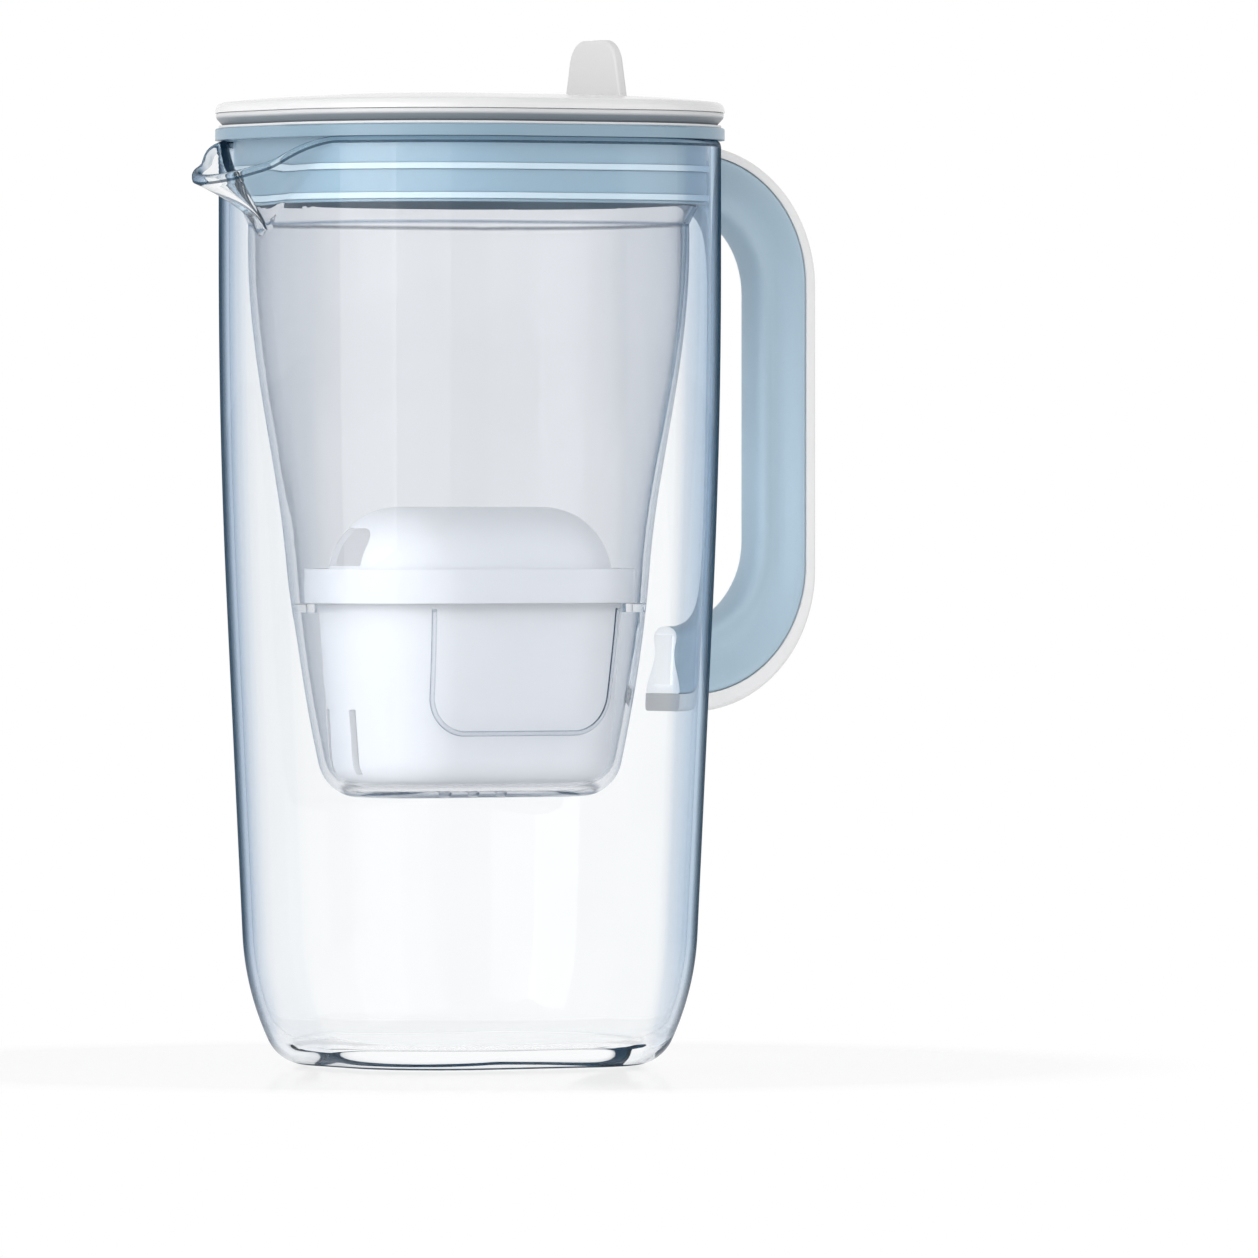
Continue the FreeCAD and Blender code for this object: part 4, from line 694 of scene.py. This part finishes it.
# Painted shade: a dark band round the foot and under the rim, strong from any angle.
FOOT_LINE = ((0.0, 0.75), (1.0, 0.85))
GLASS_SIDE_SHADE = 0.22
GLASS_GLOSS = 0.4
GLASS_BODY = colour(0.982, 0.99, 0.995)
GLASS_EDGE_SHADE = colour(0.015, 0.19, 0.42)
GLASS_LINE_SHADE = colour(0.01, 0.042, 0.08)
GLASS_LIP = colour(0.82, 0.88, 0.91)
GLASS_PASSES = colour(0.97, 0.98, 0.985)
FUNNEL_EDGE = ((0.0, 0.0), (0.25, 0.05), (0.50, 0.22), (0.70, 0.45), (0.85, 0.68), (1.0, 0.85))
FUNNEL_LINE = ((0.0, 0.0), (0.72, 0.0), (0.86, 0.30), (0.95, 0.60), (1.0, 0.75))
RIDGE_LINE = ((0.0, 0.0), (1.0, 0.15))
# Painted dark rings round the funnel: (height, half width, strength).
FUNNEL_SHADE_RINGS = ((236.3, 0.7, 0.5), (76.3, 1.0, 0.6))
FUNNEL_GLOSS = 0.1
FUNNEL_BODY = colour(0.90, 0.907, 0.925)
FUNNEL_EDGE_SHADE = colour(0.09, 0.18, 0.30)
FUNNEL_LINE_SHADE = colour(0.09, 0.16, 0.25)
FUNNEL_PASSES = colour(0.96, 0.965, 0.97)


def glass_finish(name, edge_stops, line_stops, body=GLASS_BODY, **choices):
    """One of the finishes of the jug's glass, which differ in their edges and lines."""
    shades = (body, GLASS_EDGE_SHADE, GLASS_LINE_SHADE)
    return clear_finish(name, *shades, edge_stops, line_stops, GLASS_PASSES, GLASS_GLOSS, **choices)


def funnel_finish(name, line_stops, **choices):
    """One of the finishes of the funnel's clear plastic."""
    shades = (FUNNEL_BODY, FUNNEL_EDGE_SHADE, FUNNEL_LINE_SHADE)
    return clear_finish(name, *shades, FUNNEL_EDGE, line_stops, FUNNEL_PASSES, FUNNEL_GLOSS, **choices)


finishes = {
    "jug_glass": glass_finish("clear_glass", GLASS_EDGE, GLASS_LINE, flat_clear=1.0, deepen=GLASS_SIDE_SHADE),
    "jug_inside": glass_finish("clear_glass_inside", GLASS_INSIDE_EDGE, GLASS_INSIDE_LINE, flat_clear=1.0),
    "jug_rim": glass_finish("clear_glass_rim", GLASS_EDGE, RIM_LINE, GLASS_LIP),
    "jug_line": glass_finish("clear_glass_line", GLASS_EDGE, FOOT_LINE, front_only=1.0),
    "funnel_clear": funnel_finish("funnel_plastic", FUNNEL_LINE, flat_clear=1.0, beads=FUNNEL_SHADE_RINGS),
    "funnel_ridge": funnel_finish("funnel_ridge", RIDGE_LINE),
    # Painted light: the bond finish glows, on the pads and on the grip's ends.
    "bond_clear": moulded_finish(
        "bond_gel", colour(0.92, 0.935, 0.945), colour(0.89, 0.91, 0.925), roughness=0.4, painted_glow=0.5),
    "grip_blue": moulded_finish(
        "soft_blue_grip", colour(0.46, 0.60, 0.705), colour(0.44, 0.575, 0.68),
        roughness=0.45, depth=0.00005),
    "white_gloss": moulded_finish(
        "gloss_white_strip", colour(0.88, 0.875, 0.875), colour(0.855, 0.855, 0.86),
        roughness=0.18, coat=0.4),
    "collar_blue": moulded_finish(
        "blue_collar", colour(0.265, 0.385, 0.48), colour(0.25, 0.365, 0.46), roughness=0.30),
    "gasket_blue": moulded_finish(
        "pale_gasket", colour(0.54, 0.66, 0.745), colour(0.51, 0.63, 0.72), roughness=0.50),
    # Painted light: the cartridge glows a little.
    "cartridge_white": moulded_finish(
        "cartridge_shell", colour(0.82, 0.825, 0.84), colour(0.795, 0.805, 0.825),
        roughness=0.38, painted_glow=0.12),
    # Painted light: the screens glow.
    "screen_white": moulded_finish(
        "mesh_screen", grey(0.90), grey(0.86), roughness=0.6, grain=2500.0, painted_glow=0.45),
    "bed_dark": bed_finish(),
    "seal_white": moulded_finish(
        "lid_seal_rubber", colour(0.84, 0.85, 0.86), colour(0.80, 0.81, 0.82), roughness=0.5),
    # Painted shade: the lid band's faces that look down are darkened.
    "lid_grey": moulded_finish(
        "grey_lid_band", colour(0.68, 0.69, 0.70), colour(0.65, 0.66, 0.67), roughness=0.35,
        under=colour(0.17, 0.20, 0.23)),
    "lid_white": moulded_finish(
        "white_lid", colour(0.82, 0.82, 0.825), colour(0.79, 0.79, 0.80), roughness=0.22, coat=0.3),
    "tab_grey": moulded_finish("grey_lift_tab", grey(0.76), grey(0.735), roughness=0.40),
}

NODE_FINISHES = {
    "glass_jug": "jug_glass", "handle_grip": "grip_blue", "handle_back_strip": "white_gloss",
    "upper_bond_pad": "bond_clear", "lower_bond_pad": "bond_clear", "hopper_collar": "collar_blue",
    "upper_collar_gasket": "gasket_blue", "lower_collar_gasket": "gasket_blue",
    "hopper_funnel": "funnel_clear", "cartridge_cup": "cartridge_white",
    "cartridge_cap": "cartridge_white", "inlet_screen": "screen_white", "outlet_screen": "screen_white",
    "filter_bed": "bed_dark", "lid_seal": "seal_white", "lid_base": "lid_grey",
    "lid_shell": "lid_white", "lift_tab": "tab_grey",
}
for node, part in NODE_FINISHES.items():
    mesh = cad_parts[node].data
    mesh.materials.clear()
    mesh.materials.append(finishes[part])

glass_jug(*(finishes[part] for part in ("jug_glass", "jug_inside", "jug_rim", "jug_line")))
handle_grip(finishes["grip_blue"], finishes["bond_clear"])
shield_ridge(finishes["funnel_ridge"])
lid_base(finishes["lid_grey"])

# The stage: floor, light and camera, in metres.
VIEW_TURN = math.radians(-30.0)
LOOKING = Vector((-math.sin(VIEW_TURN), math.cos(VIEW_TURN), 0.0))
RIGHTWARDS = Vector((LOOKING.y, -LOOKING.x, 0.0))
CAMERA_DISTANCE = 4.2
EYE_HEIGHT = 0.1623
AIM_HEIGHT = 0.1226
AIM_RIGHT = 0.0448
CAMERA_LENS = 427.0
CAMERA_SENSOR = 36.0
FLOOR_SIZE = 40.0
FLOOR_DROP = 0.0003
FLOOR_WHITE = 0.72
FLOOR_FADE_FROM = 0.07
FLOOR_FADE_TO = 0.22
FLOOR_CLOUD_SCALE = 3.0
FLOOR_MIRROR = 0.45
FLOOR_MIRROR_ROUGHNESS = 0.07
FLOOR_PALE = grey(0.985)
FLOOR_SHADE = grey(0.972)
WORLD_LIGHT = 0.5
LAMP_AIM = Vector((0, 0, 0.13))
LIGHT_BOUNCES = 32
CLEAR_BOUNCES = 24

# Panels round the object: degrees to the right of the camera, distance, height, size and radiance.
PANELS = {
    "right_panel": (77.8, 1.6, 0.4, (1.08, 1.6), 0.8),
    "left_panel": (-45.0, 1.7, 0.4, (1.2, 1.6), 2.4),
    "front_panel": (-10.0, 1.9, 0.6, (1.35, 1.4), 1.15),
}
TOP_PANEL_PLACE = (0.0, 0.1, 1.8)
TOP_PANEL_SIZE = (1.5, 1.5)
TOP_PANEL_RADIANCE = 0.45


def floor_finish():
    """Pale gloss floor that fades to the white background away from the object."""
    finish = Finish("pale_floor")
    away = finish.node("VectorMath", {"operation": "LENGTH"}, {0: finish.place()}, output="Value")
    far = finish.fade(away, FLOOR_FADE_FROM, FLOOR_FADE_TO)
    pale = finish.blend(FLOOR_PALE, FLOOR_SHADE, finish.noise(FLOOR_CLOUD_SCALE))
    matt = finish.node("BsdfDiffuse", sockets={"Color": pale})
    mirror = finish.node("BsdfGlossy", sockets={"Color": grey(1.0), "Roughness": FLOOR_MIRROR_ROUGHNESS})
    near = finish.node("MixShader", sockets={"Fac": FLOOR_MIRROR, 1: matt, 2: mirror})
    white = finish.node("Emission", sockets={"Color": grey(1.0), "Strength": 1.0})
    seen = finish.ray("Is Camera Ray").larger(finish.ray("Is Transmission Ray"))
    return finish.show(finish.node("MixShader", sockets={
        "Fac": far.larger(FLOOR_WHITE) * seen, 1: near, 2: white,
    }))


def stage_floor():
    """One square under the object, a little below its foot."""
    half, level = FLOOR_SIZE / MM / 2, -FLOOR_DROP / MM
    corners = [(x * half, y * half, level) for x, y in ((-1, -1), (1, -1), (1, 1), (-1, 1))]
    mesh_piece("floor", corners, [(0, 1, 2, 3)], (floor_finish(),))


def studio_world():
    """White all round for the eye and for gloss and glass, dimmer as a light on the object."""
    world = bpy.data.worlds.new("studio")
    bpy.context.scene.world = world
    finish = Finish("studio", world, "OutputWorld")
    seen = finish.ray("Is Camera Ray")
    for kind in ("Is Glossy Ray", "Is Transmission Ray"):
        seen = seen.larger(finish.ray(kind))
    strength = WORLD_LIGHT + seen * (1.0 - WORLD_LIGHT)
    finish.show(finish.node("Background", sockets={"Color": grey(1.0), "Strength": strength}))


def soft_lamp(name, place, size, radiance):
    """A soft panel that faces the object; radiance 1 is as bright as the white background."""
    lamp = bpy.data.lights.new(name, "AREA")
    lamp.shape = "RECTANGLE"
    lamp.size, lamp.size_y = size
    lamp.energy = radiance * math.pi * size[0] * size[1]
    panel = bpy.data.objects.new(name, lamp)
    panel.location = place
    panel.rotation_euler = (LAMP_AIM - Vector(place)).to_track_quat("-Z", "Y").to_euler()
    bpy.context.scene.collection.objects.link(panel)


def round_from_camera(degrees, distance, height):
    """A place at an angle to the right of the camera, seen from the object."""
    turn = math.radians(degrees)
    place = (RIGHTWARDS * math.sin(turn) - LOOKING * math.cos(turn)) * distance
    return (place.x, place.y, height)


def studio_camera():
    """The camera at eye height, which looks past the jug's axis so that the object sits to the left."""
    data = bpy.data.cameras.new("camera")
    data.lens = CAMERA_LENS
    data.sensor_width = CAMERA_SENSOR
    camera = bpy.data.objects.new("camera", data)
    aim = RIGHTWARDS * AIM_RIGHT + Vector((0, 0, AIM_HEIGHT))
    camera.location = aim - LOOKING * CAMERA_DISTANCE + Vector((0, 0, EYE_HEIGHT - AIM_HEIGHT))
    camera.rotation_euler = (aim - camera.location).to_track_quat("-Z", "Y").to_euler()
    bpy.context.scene.collection.objects.link(camera)
    bpy.context.scene.camera = camera


stage_floor()
studio_world()
for panel_name, (degrees, distance, height, size, radiance) in PANELS.items():
    soft_lamp(panel_name, round_from_camera(degrees, distance, height), size, radiance)
soft_lamp("top_panel", TOP_PANEL_PLACE, TOP_PANEL_SIZE, TOP_PANEL_RADIANCE)
studio_camera()

scene = bpy.context.scene
scene.view_settings.view_transform = "Standard"
scene.cycles.max_bounces = LIGHT_BOUNCES
scene.cycles.glossy_bounces = CLEAR_BOUNCES
scene.cycles.transmission_bounces = CLEAR_BOUNCES
scene.cycles.transparent_max_bounces = CLEAR_BOUNCES
